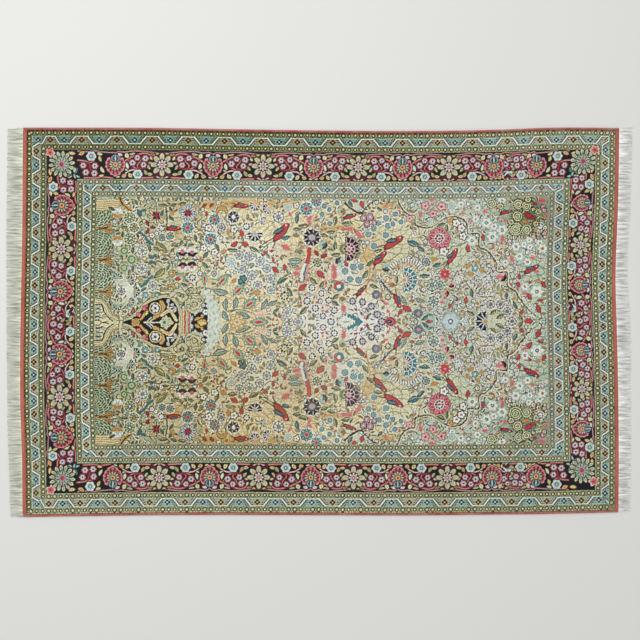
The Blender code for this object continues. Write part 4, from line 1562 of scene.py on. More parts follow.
# The part of the field that the vase takes up, from x to x and about the middle line, and the x of its middle
VASE_FROM, VASE_TO, VASE_REACH = 93.0, 224.0, 42.0
VASE_MIDDLE = 150.0
# Places on the vase, along the field and off its middle line
VASE_HANDLE = (194.4, 18.9)
VASE_RING = (155.3, 14.1)
VASE_SQUARE = (135.6, 0)
VASE_HEART = (166, 0)
VASE_RIM = ((207.4, 25), (208.2, 12), (208.4, 0), (208.2, -12), (207.4, -25))
VASE_CRESCENT = ((205, 32), (212, 18), (214.6, 0), (212, -18), (205, -32))
CRESCENT_THICKNESS, CRESCENT_REACH = 6.4, 33.0
HANDLE_FLOWERS = (
    # x, off the middle line, size
    (188.5, 16.4, 1.8), (194.5, 18, 2.4), (190, 25, 1.5), (199.6, 22, 1.5),
)

# Lines drawn on the vase: places along the field and off its middle line, on both halves
VASE_LINES = (
    # dye, width, edge, places
    ("beige", 3.4, "reed", ((162, 30.2), (170, 31.2), (178, 30.4), (186, 29))),
    ("beige", 3.2, "reed", ((171, 27), (176, 31.5), (182, 31), (186, 26), (182.5, 22), (178.6, 25))),
    ("reed", 0.7, None, ((161, 31), (170, 31.6), (178, 29.8), (190, 26.4))),
    ("black", 1.5, None, (
        (95, 18), (101, 17.8), (103.2, 15), (103.8, 11.7), (106, 8.3), (108.9, 4.6), (112.8, 1.8),
    )),
    ("black", 1, None, ((95.5, 9.7), (99, 9.7), (102.6, 10.4))),
    ("black", 1.3, None, ((95.5, 5.6), (99, 5.7), (102.6, 4.4))),
    ("reed", 1, None, ((95.5, 13.6), (98, 13.8), (101, 13.4))),
    ("black", 1.1, None, ((95.5, 1.9), (98.5, 2.2), (101, 1.2))),
    ("reed", 1, None, ((101.5, 0), (105, 0.4), (108, 1.2))),
    ("ochre", 3.6, "black", ((161.2, 20.2), (163.2, 16.5), (161.2, 11.6), (158.7, 7.6), (154.7, 5.1))),
    ("sand", 3, "black", ((161.6, 7.1), (165.3, 10.4), (169.8, 11.2), (173, 8), (175.9, 2.2))),
    ("gold", 0.8, None, ((163, 8.4), (166, 10.4), (169.8, 11), (172.6, 8.2))),
    ("ochre", 2.4, "black", ((140.6, 3), (143.6, 7), (147.4, 12))),
    ("black", 1.2, None, (
        (154.7, 1.8), (158.7, 3.5), (162.8, 5.9), (166.1, 7.6), (169.4, 7.6), (171.4, 5.5), (175.5, 0.6),
    )),
    ("cream", 0.8, None, ((144.4, 0), (150, 0), (158.7, 0))),
    ("white", 0.8, None, ((147, 1.4), (149.6, 3.4), (151.4, 5.4))),
    ("white", 0.7, None, ((150, 1), (152, 2.6), (153.4, 4))),
    ("white", 0.9, None, ((167.3, 14.9), (168.6, 18), (168.3, 21.2))),
    ("white", 0.9, None, ((167.3, 14.9), (171, 14.8), (175, 15.4))),
    ("white", 0.7, None, ((168.5, 13.4), (171.5, 12.4), (174.5, 11))),
    ("black", 1, None, ((161.6, 9.6), (164.4, 12), (167.3, 14.1))),
    ("beige", 3.4, "reed", ((120.9, 0), (120.9, 11.2))),
    ("cream", 1.2, "reed", ((122.4, 6.6), (126, 8), (127.8, 10.6), (126.4, 13.6), (122.8, 12.4))),
)
VASE_MOTIFS = (
    # motif, dyes, places: x, off the middle line, size and a turn
    (leaf, (1.1, 0.2, "white", "lilac"), ((104.2, 6, 2.4, 30),)),
    (leaf, (0.9, 0.2, "white", "mist"), (
        (97.8, 7.6, 2.2), (97.8, 11.7, 2.2), (98, 15.6, 2.4), (97.6, 3.8, 2.2),
    )),
    (bud, ("salmon", "brown"), ((133, 11.6, 2.6, 55),)),
    (outlined, ("crimson", "pink", "crimson"), ((144.2, 14.1, 2.1), (138.7, 8, 2.3), (146.7, 16.3, 1.1))),
    (bud, ("straw", "black"), ((146.9, 9.6, 3, 70),)),
    (leaf, (1.3, 0.2, "white", "lilac"), (
        (168.1, 21.4, 2.2, 60), (175.2, 12.6, 2.8, 70), (172.4, 17.4, 1.6, 20),
    )),
    (bud, ("cloud", "grey"), ((191.6, 4.2, 2.6, 80), (195.6, 9.8, 2.4, 60), (201.8, 12.6, 2.2, 60))),
    (bud, ("ochre", "brown"), ((197.6, 3.6, 3.4, 30), (202.2, 6.4, 2.8, 60))),
    (bud, ("straw", "amber"), ((202.4, 0.8, 4.6),)),
    (floret, ("white", "cloud", "ink", "black"), ((205.6, 10.3, 2.6), (203.6, 17, 1.4))),
    (blade, ("aqua", "mist", "fern"), ((140, 21.6, 3.8, -45),)),
    (outlined, ("teal", "aqua", "white"), ((145.7, 27.6, 2.6), (157, 27.4, 2))),
)


def dye_vase_shape(chart, where, x, c):
    """The vase's foot, black body and mouth, their cream and olive outlines, and the collars of its neck."""
    foot, body, mouth = (mirrored_shape(x, c, outline) for outline in (VASE_FOOT, VASE_BODY, VASE_MOUTH))
    chart.dye(where, foot - 4.6, "ochre", 1.2, 0.6)
    for shape, dye in ((foot, "cream"), (body, "black")):
        chart.dye(where, shape - 2.9, "olive")
        chart.dye(where, shape - 2.2, "cream")
        chart.dye(where, np.abs(shape - 1.1) - 0.3, "olive", 0.6, 0.8)
        chart.dye(where, shape, dye)
    chart.dye(where, np.abs(foot + 0.9) - 0.3, "olive", 0.6)
    chart.dye(where, np.abs(foot + 3.4) - 0.5, "celadon", 0.8)
    chart.dye(where, mouth, "black")
    for low, high, half, dye in VASE_COLLARS:
        bar = np.maximum(np.maximum(low - x, x - high), np.abs(c) - half)
        chart.dye(where, bar - 0.7, "cream")
        chart.dye(where, bar, dye)


def dye_vase_half(chart, axis):
    """Half of what the vase bears: a scrolled handle, lines, a ringed flower, small motifs, a gold square."""
    at, a, b = chart.near(axis.at(*VASE_HANDLE), 12.0)
    away = np.hypot(a, b)
    chart.dye(at, away - 10.6, "reed")
    chart.dye(at, away - 9.8, "beige")
    scroll = np.abs(np.sin(away * 1.05 + np.arctan2(b, a) / 2 + 0.7 * np.sin(a * 1.1)))
    chart.dye(at, np.maximum(scroll - 0.4, away - 9.6), "olive", 0.6, 0.8)
    chart.dye(at, away - 2.4, "celadon", 0.8)
    for dye, width, edge, places in VASE_LINES:
        vine(chart, axis, places, dye, width, edge, 0.6)
    at, a, b = chart.near(axis.at(*VASE_RING), 9.0)
    for radius, dye in ((6.6, "black"), (5.9, "sand"), (5.1, "black")):
        chart.dye(at, disc(a, b, radius), dye)
    chart.dye(at, bloom(a, b, 3.7, 6, 0.12), "white")
    chart.dye(at, np.maximum(-spokes(a, b, 6, 0.5, 30.0), disc(a, b, 3.6)), "grey")
    chart.dye(at, disc(a, b, 1.4), "olive")
    for motif, dyes, places in VASE_MOTIFS:
        for along, off, size, *turn in places:
            motif(chart, axis.at(along, off, *turn), size, *dyes)
    at, a, b = chart.near(axis.at(*VASE_SQUARE), 6.5)
    chart.dye(at, np.maximum(np.abs(a), np.abs(b)) - 4.4 + 0.22 * np.hypot(a, b), "ochre", 0.9)
    speckle = 0.5 - 1.2 * np.sin(a * 2.6) * np.sin(b * 2.6)
    chart.dye(at, np.maximum(speckle, disc(a, b, 4.0)), "brown", 0.7, 0.7)
    for along, off, size in HANDLE_FLOWERS:
        outlined(chart, axis.at(along, off), size, "reed", "beige", "olive")


def dye_crescent(chart, where, x, c, line):
    """The pale crescent over the vase's mouth: thickest in its middle, frayed, and mottled blue."""
    away, _ = line_distance(x, c, line)
    moon = away - CRESCENT_THICKNESS * np.sqrt(np.clip(1.0 - (c / CRESCENT_REACH) ** 2, 0.0, 1.0))
    fray = moon + 0.9 * np.sin(c * 1.3 + np.sin(x * 0.8))
    chart.dye(where, fray, "mist", 1.6)
    chart.dye(where, fray + 0.8, "white", 1.4, 0.7)
    mottle = np.sin(x * 1.3 + 2.0 * np.sin(c * 0.35)) + np.sin(c * 0.9 + x * 0.4)
    chart.dye(where, np.maximum(0.7 - mottle, fray + 1.0), "aqua", 1.6, 0.55)


def knot_vase(chart):
    """The black-lined vase: bell foot, knob, gold arabesques, red collars, scroll handles, flared mouth."""
    middle = middle_line(VASE_MIDDLE)
    where, x, y = chart.window(VASE_FROM, VASE_TO, middle - VASE_REACH, middle + VASE_REACH)
    c = y - middle
    dye_vase_shape(chart, where, x, c)
    for hand in (-1, 1):
        dye_vase_half(chart, Axis(0.0, middle, 0.0, hand))
    axis = Axis(0.0, middle)
    at, a, b = chart.near(axis.at(*VASE_HEART), 11.0)
    chart.dye(at, diamond(a, b, 7.6, 7.2), "beige")
    chart.dye(at, ring_of_dots(a, b, 4, 4.2, 1.7, 45.0), "celadon")
    chart.dye(at, ring_of_dots(a, b, 4, 4.2, 0.6, 45.0), "olive")
    chart.dye(at, disc(a + 1.6, b, 2.6), "mist")
    chart.dye(at, disc(a + 1.6, b, 1.6), "teal")
    vine(chart, axis, VASE_RIM, "white", 1.0, "ink", 0.6)
    dye_crescent(chart, where, x, c, curve_points(VASE_CRESCENT))


# The scroll at the niche's line, the fans' hearts and the two buds on the middle line
NICHE_SCROLL = (505.5, 288.5)
FAN_HEART = (406.0, 279.8)
DARK_BUD_X = 390.4
PALE_BUD = (
    # x, half height
    (338.5, 0), (340, 4.8), (344.5, 7.6), (350, 7.4), (356, 5.4), (360, 2.8), (364, 0),
)
PALE_BUD_EYE = 346.5


def knot_niche(chart):
    """The dark line of the niche, with a scroll beside it."""
    stroke(chart, NICHE_LINE[:-1], "reed", 1.3)
    stroke(chart, [(x + 0.9, y - 1.2) for x, y in NICHE_LINE[:-1]], "cream", 0.8)
    turn = np.linspace(0.0, 9.0, 16)
    away = 0.5 + 0.33 * turn
    scroll = zip(NICHE_SCROLL[0] + away * np.cos(turn), NICHE_SCROLL[1] + away * np.sin(turn))
    stroke(chart, list(scroll), "olive", 0.9)


def knot_buds(chart):
    """The pale bud with serrated blue edges and the dark one with a crimson rim, both on the middle line."""
    middle = middle_line(PALE_BUD[3][0])
    where, x, y = chart.window(335.0, 366.0, middle - 12.0, middle + 12.0)
    c = y - middle
    shape = mirrored_shape(x, c, PALE_BUD) + 0.9 * np.cos(x * 1.9 + np.abs(c) * 1.7)
    chart.dye(where, shape - 1.0, "white", strength=0.8)
    chart.dye(where, shape, "teal")
    chart.dye(where, np.maximum(shape + 1.4, x - PALE_BUD_EYE - 0.5), "white")
    chart.dye(where, leaf_shape(x - PALE_BUD_EYE, c, 9.0, 4.4) + 0.5 * np.cos(x * 2.4), "white")
    chart.dye(where, leaf_shape(x - PALE_BUD_EYE + 0.5, c, 4.0, 0.6), "olive")
    where, a, c = chart.near(Axis(DARK_BUD_X, middle_line(DARK_BUD_X)), 8.0)
    chart.dye(where, leaf_shape(a, c, 6.6, 4.8), "crimson")
    chart.dye(where, leaf_shape(a + 0.6, c, 4.8, 3.0), "coral", strength=0.6)
    chart.dye(where, leaf_shape(a + 1.2, c, 3.6, 2.2), "navy")
    chart.dye(where, leaf_shape(a + 1.4, c, 2.0, 0.8), "slate")


def knot_fans(chart):
    """A gold arc and a ribbed white one about the heart of each large fan."""
    for spot in halves(*FAN_HEART):
        where, a, c = chart.near(spot, 24.0)
        away = np.hypot(a, c)
        back = np.maximum(a * 0.5 + c * 0.85, -a - 17.0)
        chart.dye(where, np.maximum(np.abs(away - 15.4) - 1.4, back), "gold", 1.0, 0.5)
        chart.dye(where, np.maximum(np.abs(away - 19.5) - 2.2, back), "white", 1.0, 0.7)
        ribs = np.maximum(-spokes(a, c, 46, 0.9), np.abs(away - 19.5) - 2.4)
        chart.dye(where, np.maximum(ribs, back), "ink", strength=0.8)


def filler_places(box, step, numbers):
    """Places on a loose grid over a box: each strays from its grid point by up to a third of a step."""
    low_x, high_x, low_y, high_y = box
    x, y = np.meshgrid(np.arange(low_x, high_x, step), np.arange(low_y, high_y, step))
    stray = numbers.uniform(-0.33, 0.33, (2,) + x.shape) * step
    return np.stack([(x + stray[0]).ravel(), (y + stray[1]).ravel()], axis=1)


def knot_fillers(chart):
    """Strews small flowers, leaves and strokes wherever the far half holds no motif, and mirrors them."""
    numbers = np.random.default_rng(FILLER_SEED)
    taken = np.array([place[:3] for _, _, places in FIELD_MOTIFS for place in places])
    for low_x, high_x, low_y, high_y, step, choices in FILLERS:
        for x, y in filler_places((low_x, high_x, low_y, high_y), step, numbers):
            motif, smallest, largest, dyes = choices[numbers.integers(len(choices))]
            size, turn = numbers.uniform(smallest, largest), numbers.uniform(0.0, 360.0)
            gap = np.hypot(taken[:, 0] - x, taken[:, 1] - y) - taken[:, 2]
            if gap.min() < size * 0.35:
                continue
            for spot in halves(x, y, turn):
                motif(chart, spot, size, *dyes)


def knot_field(chart):
    """Dyes the whole field: ground, fillers, stems, willows, motifs, niche and vase, then its tints and
    painted shade.
    """
    chart.straight = False
    knot_ground(chart)
    knot_fillers(chart)
    for dye, width, points in STEMS:
        stroke(chart, points, dye, width)
    knot_willows(chart)
    for motif, dyes, places in FIELD_MOTIFS:
        for x, y, size, *turn in places:
            for spot in halves(x, y, *turn):
                motif(chart, spot, size, *dyes)
    knot_niche(chart)
    knot_buds(chart)
    knot_fans(chart)
    knot_vase(chart)
    everywhere = np.s_[:, :]
    for dye, x, y, reach_x, reach_y, share in FIELD_TINTS:
        chart.blend(everywhere, dye, share * fall_off(chart.drawn_x - x, chart.drawn_y - y, reach_x, reach_y))
    # painted shade: darker patches of the pile laid into the field's dyes
    for x, y, reach_x, reach_y, tone in FIELD_PAINTED_SHADES:
        shade = fall_off(chart.drawn_x - x, chart.drawn_y - y, reach_x, reach_y)
        chart.darken(everywhere, 1.0 - (1.0 - tone) * shade)
    chart.straight = True


# Meshes


def new_piece(name, points, faces, material, slot=None, smooth=True):
    """A mesh object at the origin from an array of points and an array of four-sided faces."""
    mesh = bpy.data.meshes.new(name)
    mesh.vertices.add(len(points))
    mesh.vertices.foreach_set("co", np.asarray(points, dtype=np.float32).ravel())
    mesh.loops.add(faces.size)
    mesh.loops.foreach_set("vertex_index", faces.ravel().astype(np.int32))
    mesh.polygons.add(len(faces))
    mesh.polygons.foreach_set("loop_start", np.arange(0, faces.size, faces.shape[1], dtype=np.int32))
    mesh.update(calc_edges=True)
    mesh.validate()
    mesh.materials.append(material)
    if smooth:
        mesh.shade_smooth()
    thing = bpy.data.objects.new(name, mesh)
    bpy.context.collection.objects.link(thing)
    if slot:
        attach(thing, "root")
    return thing


def grid_faces(rows, columns, closed=False):
    """Faces of a grid of points stored row by row, anticlockwise where columns run right and rows run up.

    A closed grid joins its last column to its first.
    """
    right = columns if closed else columns - 1
    row, column = np.meshgrid(np.arange(rows - 1), np.arange(right), indexing="ij")
    here, beside = row * columns + column, row * columns + (column + 1) % columns
    return np.stack([here, beside, beside + columns, here + columns], axis=-1).reshape(-1, 4)


def give_colours(thing, name, colours):
    """Stores one colour for each corner of each face."""
    layer = thing.data.attributes.new(name, "FLOAT_COLOR", "CORNER")
    values = np.concatenate([colours, np.ones(colours.shape[:-1] + (1,))], axis=-1)
    layer.data.foreach_set("color", values.astype(np.float32).ravel())


def give_flat_map(thing):
    """A UV map from straight above, which fills the unit square."""
    mesh = thing.data
    places = np.empty(len(mesh.vertices) * 3, dtype=np.float32)
    mesh.vertices.foreach_get("co", places)
    places = places.reshape(-1, 3)[:, :2]
    low, high = places.min(axis=0), places.max(axis=0)
    corner = np.empty(len(mesh.loops), dtype=np.int32)
    mesh.loops.foreach_get("vertex_index", corner)
    flat = 0.002 + 0.996 * (places - low) / (high - low)
    mesh.uv_layers.new(name="OFBake").uv.foreach_set("vector", flat[corner].ravel())


# Materials


def new_material(name):
    material = bpy.data.materials.new(name)
    material.use_nodes = True
    return material, material.node_tree, material.node_tree.nodes["Principled BSDF"]


def add_node(tree, kind, settings=None, links=None):
    """Adds a node, sets its properties and sockets, and links each named or numbered input to an output."""
    node = tree.nodes.new(kind)
    for key, value in (settings or {}).items():
        if isinstance(key, int) or key in node.inputs:
            node.inputs[key].default_value = value
        else:
            setattr(node, key, value)
    for key, output in (links or {}).items():
        tree.links.new(output, node.inputs[key])
    return node


def stretched_noise(tree, cycles, low, high, detail=2.0):
    """Noise that repeats about `cycles` times a metre along x, y and z, spread between two values."""
    place = add_node(tree, "ShaderNodeTexCoord").outputs["Object"]
    moved = add_node(tree, "ShaderNodeMapping", {"Scale": cycles}, {"Vector": place})
    settings = {"Scale": 1.0, "Detail": detail}
    noise = add_node(tree, "ShaderNodeTexNoise", settings, {"Vector": moved.outputs[0]})
    spread = {"From Min": 0.3, "From Max": 0.7, "To Min": low, "To Max": high}
    return add_node(tree, "ShaderNodeMapRange", spread, {"Value": noise.outputs[0]}).outputs[0]


def plain_colour(tree, colour):
    """The output of a node that holds one colour."""
    node = add_node(tree, "ShaderNodeRGB")
    node.outputs[0].default_value = (*colour, 1.0)
    return node.outputs[0]


def ridges(tree, direction, pitch, distort=0.0):
    """Rounded ridges across x or y at a pitch in metres: a Wave texture repeats after pi / 10 units."""
    place = add_node(tree, "ShaderNodeTexCoord").outputs["Object"]
    settings = {"bands_direction": direction, "Scale": np.pi / 10 / pitch}
    settings |= {"Distortion": distort, "Detail Scale": 2.0}
    return add_node(tree, "ShaderNodeTexWave", settings, {"Vector": place}).outputs["Fac"]


def arithmetic(tree, operation, first, second):
    """The sum, product or other result of two outputs."""
    return add_node(tree, "ShaderNodeMath", {"operation": operation}, {0: first, 1: second}).outputs[0]


def shaded(tree, colour, *tones):
    """A colour output made lighter or darker by each tone output in turn."""
    for tone in tones:
        links = {"Vector": colour, "Scale": tone}
        colour = add_node(tree, "ShaderNodeVectorMath", {"operation": "SCALE"}, links).outputs[0]
    return colour


def bumped(tree, shader, height, depth):
    """Turns a height output from 0 to 1 into relief `depth` metres deep."""
    bump = add_node(tree, "ShaderNodeBump", {"Distance": depth}, {"Height": height})
    tree.links.new(bump.outputs[0], shader.inputs["Normal"])


def silk_pile_material():
    """Mulberry silk pile, hand-knotted and clipped.

    The cut ends of silk take the light softly. The dye lots change in bands across the rug, each patch of
    pile leans its own way, painted into the colour as patches of lighter and darker sheen, and the clipped
    knots leave fine rows, drawn at the pitch of the chart's grid.
    """
    material, tree, shader = new_material("mulberry_silk_knotted_clipped")
    dye = add_node(tree, "ShaderNodeAttribute", {"attribute_name": "dye"}).outputs["Color"]
    dye_lot = stretched_noise(tree, (16.0, 0.9, 1.0), 0.95, 1.05)
    # painted sheen: lighter and darker patches where the pile leans its own way
    lean = stretched_noise(tree, (9.0, 12.0, 1.0), 0.95, 1.05, 3.0)
    knot = stretched_noise(tree, (480.0, 480.0, 1.0), 0.92, 1.08, 0.0)
    tree.links.new(shaded(tree, dye, dye_lot, lean, knot), shader.inputs["Base Color"])
    rows, columns = (ridges(tree, direction, KNOT_PITCH, 0.6) for direction in ("X", "Y"))
    bumped(tree, shader, arithmetic(tree, "MULTIPLY", rows, columns), 0.25 * MM)
    shader.inputs["Roughness"].default_value = 0.6
    shader.inputs["Specular IOR Level"].default_value = 0.22
    shader.inputs["Sheen Weight"].default_value = 0.06
    shader.inputs["Sheen Roughness"].default_value = 0.4
    return material


def knot_back_material():
    """The backs of silk knots on a cotton-weft foundation: the same dyes, duller and ribbed by the wefts."""
    material, tree, shader = new_material("silk_knot_backs_woven")
    dye = add_node(tree, "ShaderNodeAttribute", {"attribute_name": "dye"}).outputs["Color"]
    darkening = stretched_noise(tree, (30.0, 8.0, 1.0), 0.72, 0.86)
    tree.links.new(shaded(tree, dye, darkening), shader.inputs["Base Color"])
    bumped(tree, shader, ridges(tree, "X", 1.2 * MM, 0.4), 0.2 * MM)
    shader.inputs["Roughness"].default_value = 0.85
    shader.inputs["Specular IOR Level"].default_value = 0.15
    return material


# Red silk where it is rubbed
RUBBED_SILK = "C99A86"


def overcast_material(colour):
    """Red silk overcast in close wraps round the cord: fine shining ridges across it, rubbed pale in places.

    The wraps are about 0.8 mm apart, and are drawn as coarse as 2.4 mm so that they show.
    """
    material, tree, shader = new_material("silk_overcast_wrapped")
    base, pale = plain_colour(tree, colour), plain_colour(tree, linear(RUBBED_SILK))
    rubbed = stretched_noise(tree, (26.0, 60.0, 1.0), 0.0, 0.75, 4.0)
    mixed = add_node(tree, "ShaderNodeMix", {"data_type": "RGBA"}, {0: rubbed, 6: base, 7: pale})
    tone = stretched_noise(tree, (300.0, 40.0, 1.0), 0.72, 1.12)
    tree.links.new(shaded(tree, mixed.outputs[2], tone), shader.inputs["Base Color"])
    bumped(tree, shader, ridges(tree, "X", 2.4 * MM, 1.2), 0.4 * MM)
    shader.inputs["Roughness"].default_value = 0.5
    shader.inputs["Specular IOR Level"].default_value = 0.3
    shader.inputs["Sheen Weight"].default_value = 0.08
    return material


def web_material(colour):
    """Plain-woven silk web, weft-faced: matt ribs along the short end, faded unevenly."""
    material, tree, shader = new_material("silk_plain_woven_web")
    base = plain_colour(tree, colour)
    tone = stretched_noise(tree, (60.0, 14.0, 1.0), 0.8, 1.2, 3.0)
    pick = stretched_noise(tree, (90.0, 420.0, 1.0), 0.86, 1.12)
    tree.links.new(shaded(tree, base, tone, pick), shader.inputs["Base Color"])
    weave = arithmetic(tree, "MULTIPLY", ridges(tree, "X", 1.6 * MM, 0.5), ridges(tree, "Y", 2.2 * MM, 0.5))
    bumped(tree, shader, weave, 0.35 * MM)
    shader.inputs["Roughness"].default_value = 0.7
    shader.inputs["Specular IOR Level"].default_value = 0.25
    return material


def warp_material(state, colour):
    """Undyed twisted warp threads: off-white, matt, greyer where the floor's dust has got in."""
    material, tree, shader = new_material("cotton_warp_twisted_" + state)
    base = plain_colour(tree, colour)
    thread = stretched_noise(tree, (24.0, 230.0, 1.0), 0.56, 1.5)
    dust = stretched_noise(tree, (10.0, 14.0, 1.0), 0.92, 1.06)
    tree.links.new(shaded(tree, base, thread, dust), shader.inputs["Base Color"])
    bumped(tree, shader, ridges(tree, "X", 2.0 * MM, 1.5), 0.2 * MM)
    shader.inputs["Roughness"].default_value = 0.75
    shader.inputs["Specular IOR Level"].default_value = 0.25
    return material


def floor_material(colour):
    """Matt painted floor, plain and pale."""
    material, _, shader = new_material("floor_paint_matt")
    shader.inputs["Base Color"].default_value = (*colour, 1.0)
    shader.inputs["Roughness"].default_value = 0.9
    return material


# Pieces

# The pile's outer wall, from the floor up to its clipped top
PILE_EDGE = (
    # inset, height in mm
    (0.0, 0.3),
    (0.0, 3.2),
    (0.3, 4.3),
    (1.0, 4.85),
    (2.2, 5.0),
)


# Tone of single knots, and how far each sample is set off from its neighbours
KNOT_TONE = 0.1
KNOT_CRISPNESS = 0.95


def knot_design(chart):
    """Dyes the whole design, darkens its borders by uneven dye and painted shade, and sets its single knots
    off from each other.
    """
    knot_field(chart)
    knot_stripes(chart)
    knot_main_border(chart)
    paint_border_dye_and_shade(chart)
    set_off_knots(chart)


def set_off_knots(chart):
    """Raises each sample's difference from the mean of its neighbours, and gives each knot its own tone.

    Square roots of the dyes are worked on, which are nearer to what the eye sees.
    """
    seen = np.sqrt(chart.colour)
    mean = seen
    for direction in (0, 1):
        mean = sum(np.roll(mean, step, direction) for step in range(-3, 4)) / 7
    seen += KNOT_CRISPNESS * (seen - mean)
    numbers = np.random.default_rng(PILE_SEED)
    tone = numbers.uniform(-KNOT_TONE, KNOT_TONE, [size // 2 for size in seen.shape[:2]])
    seen *= 1.0 + np.repeat(np.repeat(tone, 2, axis=0), 2, axis=1)[..., None]
    chart.colour = np.clip(seen, 0.09, 0.97) ** 2


def model_plan(x, y):
    """Plan position in the model's frame of a place on the straight chart."""
    plan_x, plan_y = rug_plan(*chart_to_shares(x, y))
    return plan_x + SHIFT_X, plan_y + SHIFT_Y


def pile_lines(pitch, inset):
    """Straight chart places of a grid's lines along and across the rug, at an inset from the pile's edge."""
    inset_x, inset_y = (WEB_WIDTH + GAP + inset) / CHART_UNIT, (SELVEDGE_WIDTH + GAP + inset) / CHART_UNIT
    left, right = CHART_LEFT + inset_x, CHART_LEFT + CHART_LONG - inset_x
    far, near = CHART_FAR + inset_y, CHART_FAR + CHART_WIDE - inset_y
    columns, rows = (round(size * CHART_UNIT / pitch) for size in (right - left, near - far))
    return np.linspace(left, right, columns + 1), np.linspace(far, near, rows + 1)


def quarter_points(lines):
    """Two sample places in each cell of a line of grid places, a quarter of the cell from each end."""
    step = np.diff(lines)
    return np.stack([lines[:-1] + step / 4, lines[1:] - step / 4], axis=1).ravel()


def cell_colours(colour):
    """Chart samples, two by two for each cell, as the four corners of each face, row by row."""
    high, wide = colour.shape[0] // 2, colour.shape[1] // 2
    return colour.reshape(high, 2, wide, 2, 3).transpose(0, 2, 1, 3, 4).reshape(-1, 4, 3)


def pile_heights(x_lines, y_lines):
    """Height of the clipped pile at each grid point: slow waves of the cloth and the stray of each knot."""
    x, y = np.meshgrid(x_lines, y_lines)
    slow = 0.5 + 0.25 * np.sin(x / 31.0 + 0.6 * np.sin(y / 23.0)) + 0.25 * np.sin(y / 37.0 + 1.3)
    stray = np.random.default_rng(PILE_SEED).uniform(0.0, 1.0, x.shape)
    return PILE_TOP - (0.25 * slow + 0.1 * stray) * MM


def outline_loop(columns, rows, inset):
    """Chart places round the pile at an inset in metres: far, right, near, left and the first one again."""
    x, y = pile_lines(KNOT_PITCH, inset)
    x, y = np.linspace(x[0], x[-1], columns + 1), np.linspace(y[0], y[-1], rows + 1)
    along = np.concatenate([x, np.full(rows, x[-1]), x[-2::-1], np.full(rows, x[0])])
    across = np.concatenate([np.full(columns + 1, y[0]), y[1:], np.full(columns, y[-1]), y[-2::-1]])
    return along, across


def knot_pile_edge(chart, heights, material):
    """The wall round the pile, in rings whose inset and height follow the PILE_EDGE table."""
    rows, columns = (size - 1 for size in heights.shape)
    rings = []
    for inset, height in PILE_EDGE:
        x, y = model_plan(*outline_loop(columns, rows, inset * MM))
        rings.append(np.stack([x, y, np.full_like(x, height * MM)], axis=-1))
    rim = np.concatenate([heights[0], heights[1:, -1], heights[-1, -2::-1], heights[-2::-1, 0]])
    rings[-1][:, 2] = rim
    dye = chart.colour
    pairs = np.concatenate([dye[0], dye[:, -1], dye[-1, ::-1], dye[::-1, 0]]).reshape(-1, 2, 3)
    count = len(rings[0])
    faces = grid_faces(len(rings), count)[:, ::-1]
    piece = new_piece("pile_edge", np.concatenate(rings), faces, material, "silk_pile")
    corners = np.tile(pairs[:, (0, 1, 1, 0)], (len(rings) - 1, 1, 1))
    give_colours(piece, "dye", corners[:, ::-1])
    return piece


def knot_pile_pieces(pitch):
    """The pile's top as a grid of knots, cut into border and field pieces, and the wall round it."""
    top_inset = PILE_EDGE[-1][0] * MM
    x_lines, y_lines = pile_lines(pitch, top_inset)
    chart = Chart(quarter_points(x_lines), quarter_points(y_lines))
    knot_design(chart)
    heights = pile_heights(x_lines, y_lines)
    material = silk_pile_material()
    ends = [side_ends(side)[-1] for side in range(4)]
    cut_left = np.searchsorted(x_lines, CHART_LEFT + ends[2])
    cut_right = np.searchsorted(x_lines, CHART_LEFT + CHART_LONG - ends[3])
    cut_far = np.searchsorted(y_lines, CHART_FAR + ends[0])
    cut_near = np.searchsorted(y_lines, CHART_FAR + CHART_WIDE - ends[1])
    middle = (cut_far + cut_near) // 2
    columns, rows = len(x_lines) - 1, len(y_lines) - 1
    parts = (
        # name, first column, last column, first row, last row
        ("pile_border_far", 0, columns, 0, cut_far),
        ("pile_border_near", 0, columns, cut_near, rows),
        ("pile_border_left", 0, cut_left, cut_far, cut_near),
        ("pile_border_right", cut_right, columns, cut_far, cut_near),
        ("pile_field_far", cut_left, cut_right, cut_far, middle),
        ("pile_field_near", cut_left, cut_right, middle, cut_near),
    )
    pieces = []
    for name, first_column, last_column, first_row, last_row in parts:
        grid = np.s_[first_row : last_row + 1, first_column : last_column + 1]
        x, y = model_plan(*np.meshgrid(x_lines[grid[1]], y_lines[grid[0]]))
        points = np.stack([x, y, heights[grid]], axis=-1)
        faces = grid_faces(*x.shape)[:, ::-1]
        piece = new_piece(name, points.reshape(-1, 3), faces, material, "silk_pile")
        block = chart.colour[2 * first_row : 2 * last_row, 2 * first_column : 2 * last_column]
        # A face's corners run near left, near right, far right, far left
        give_colours(piece, "dye", cell_colours(block)[:, (2, 3, 1, 0)])
        give_flat_map(piece)
        pieces.append(piece)
    pieces.append(knot_pile_edge(chart, heights, material))
    return pieces


def lay_knot_backs(pitch):
    """The foundation's underside: one coarse sheet of the design, a little above the floor, facing down."""
    x_lines, y_lines = pile_lines(pitch, 0.0)
    chart = Chart(quarter_points(x_lines), quarter_points(y_lines))
    knot_design(chart)
    x, y = model_plan(*np.meshgrid(x_lines, y_lines))
    points = np.stack([x, y, np.full_like(x, BACK_LEVEL)], axis=-1).reshape(-1, 3)
    piece = new_piece("foundation", points, grid_faces(*x.shape), knot_back_material(), "silk_pile")
    give_colours(piece, "dye", cell_colours(chart.colour)[:, (0, 1, 3, 2)])
    give_flat_map(piece)
    return piece


def edge_place(side, share, inward):
    """Plan position at a share along an edge of the rug and a distance in metres inward from it."""
    if side in ("far", "near"):
        x, y = rug_plan(share, np.full_like(share, float(side == "far")))
        y = y + (-inward if side == "far" else inward)
    else:
        x, y = rug_plan(np.full_like(share, float(side == "right")), share)
        x = x + (-inward if side == "right" else inward)
    return x + SHIFT_X, y + SHIFT_Y


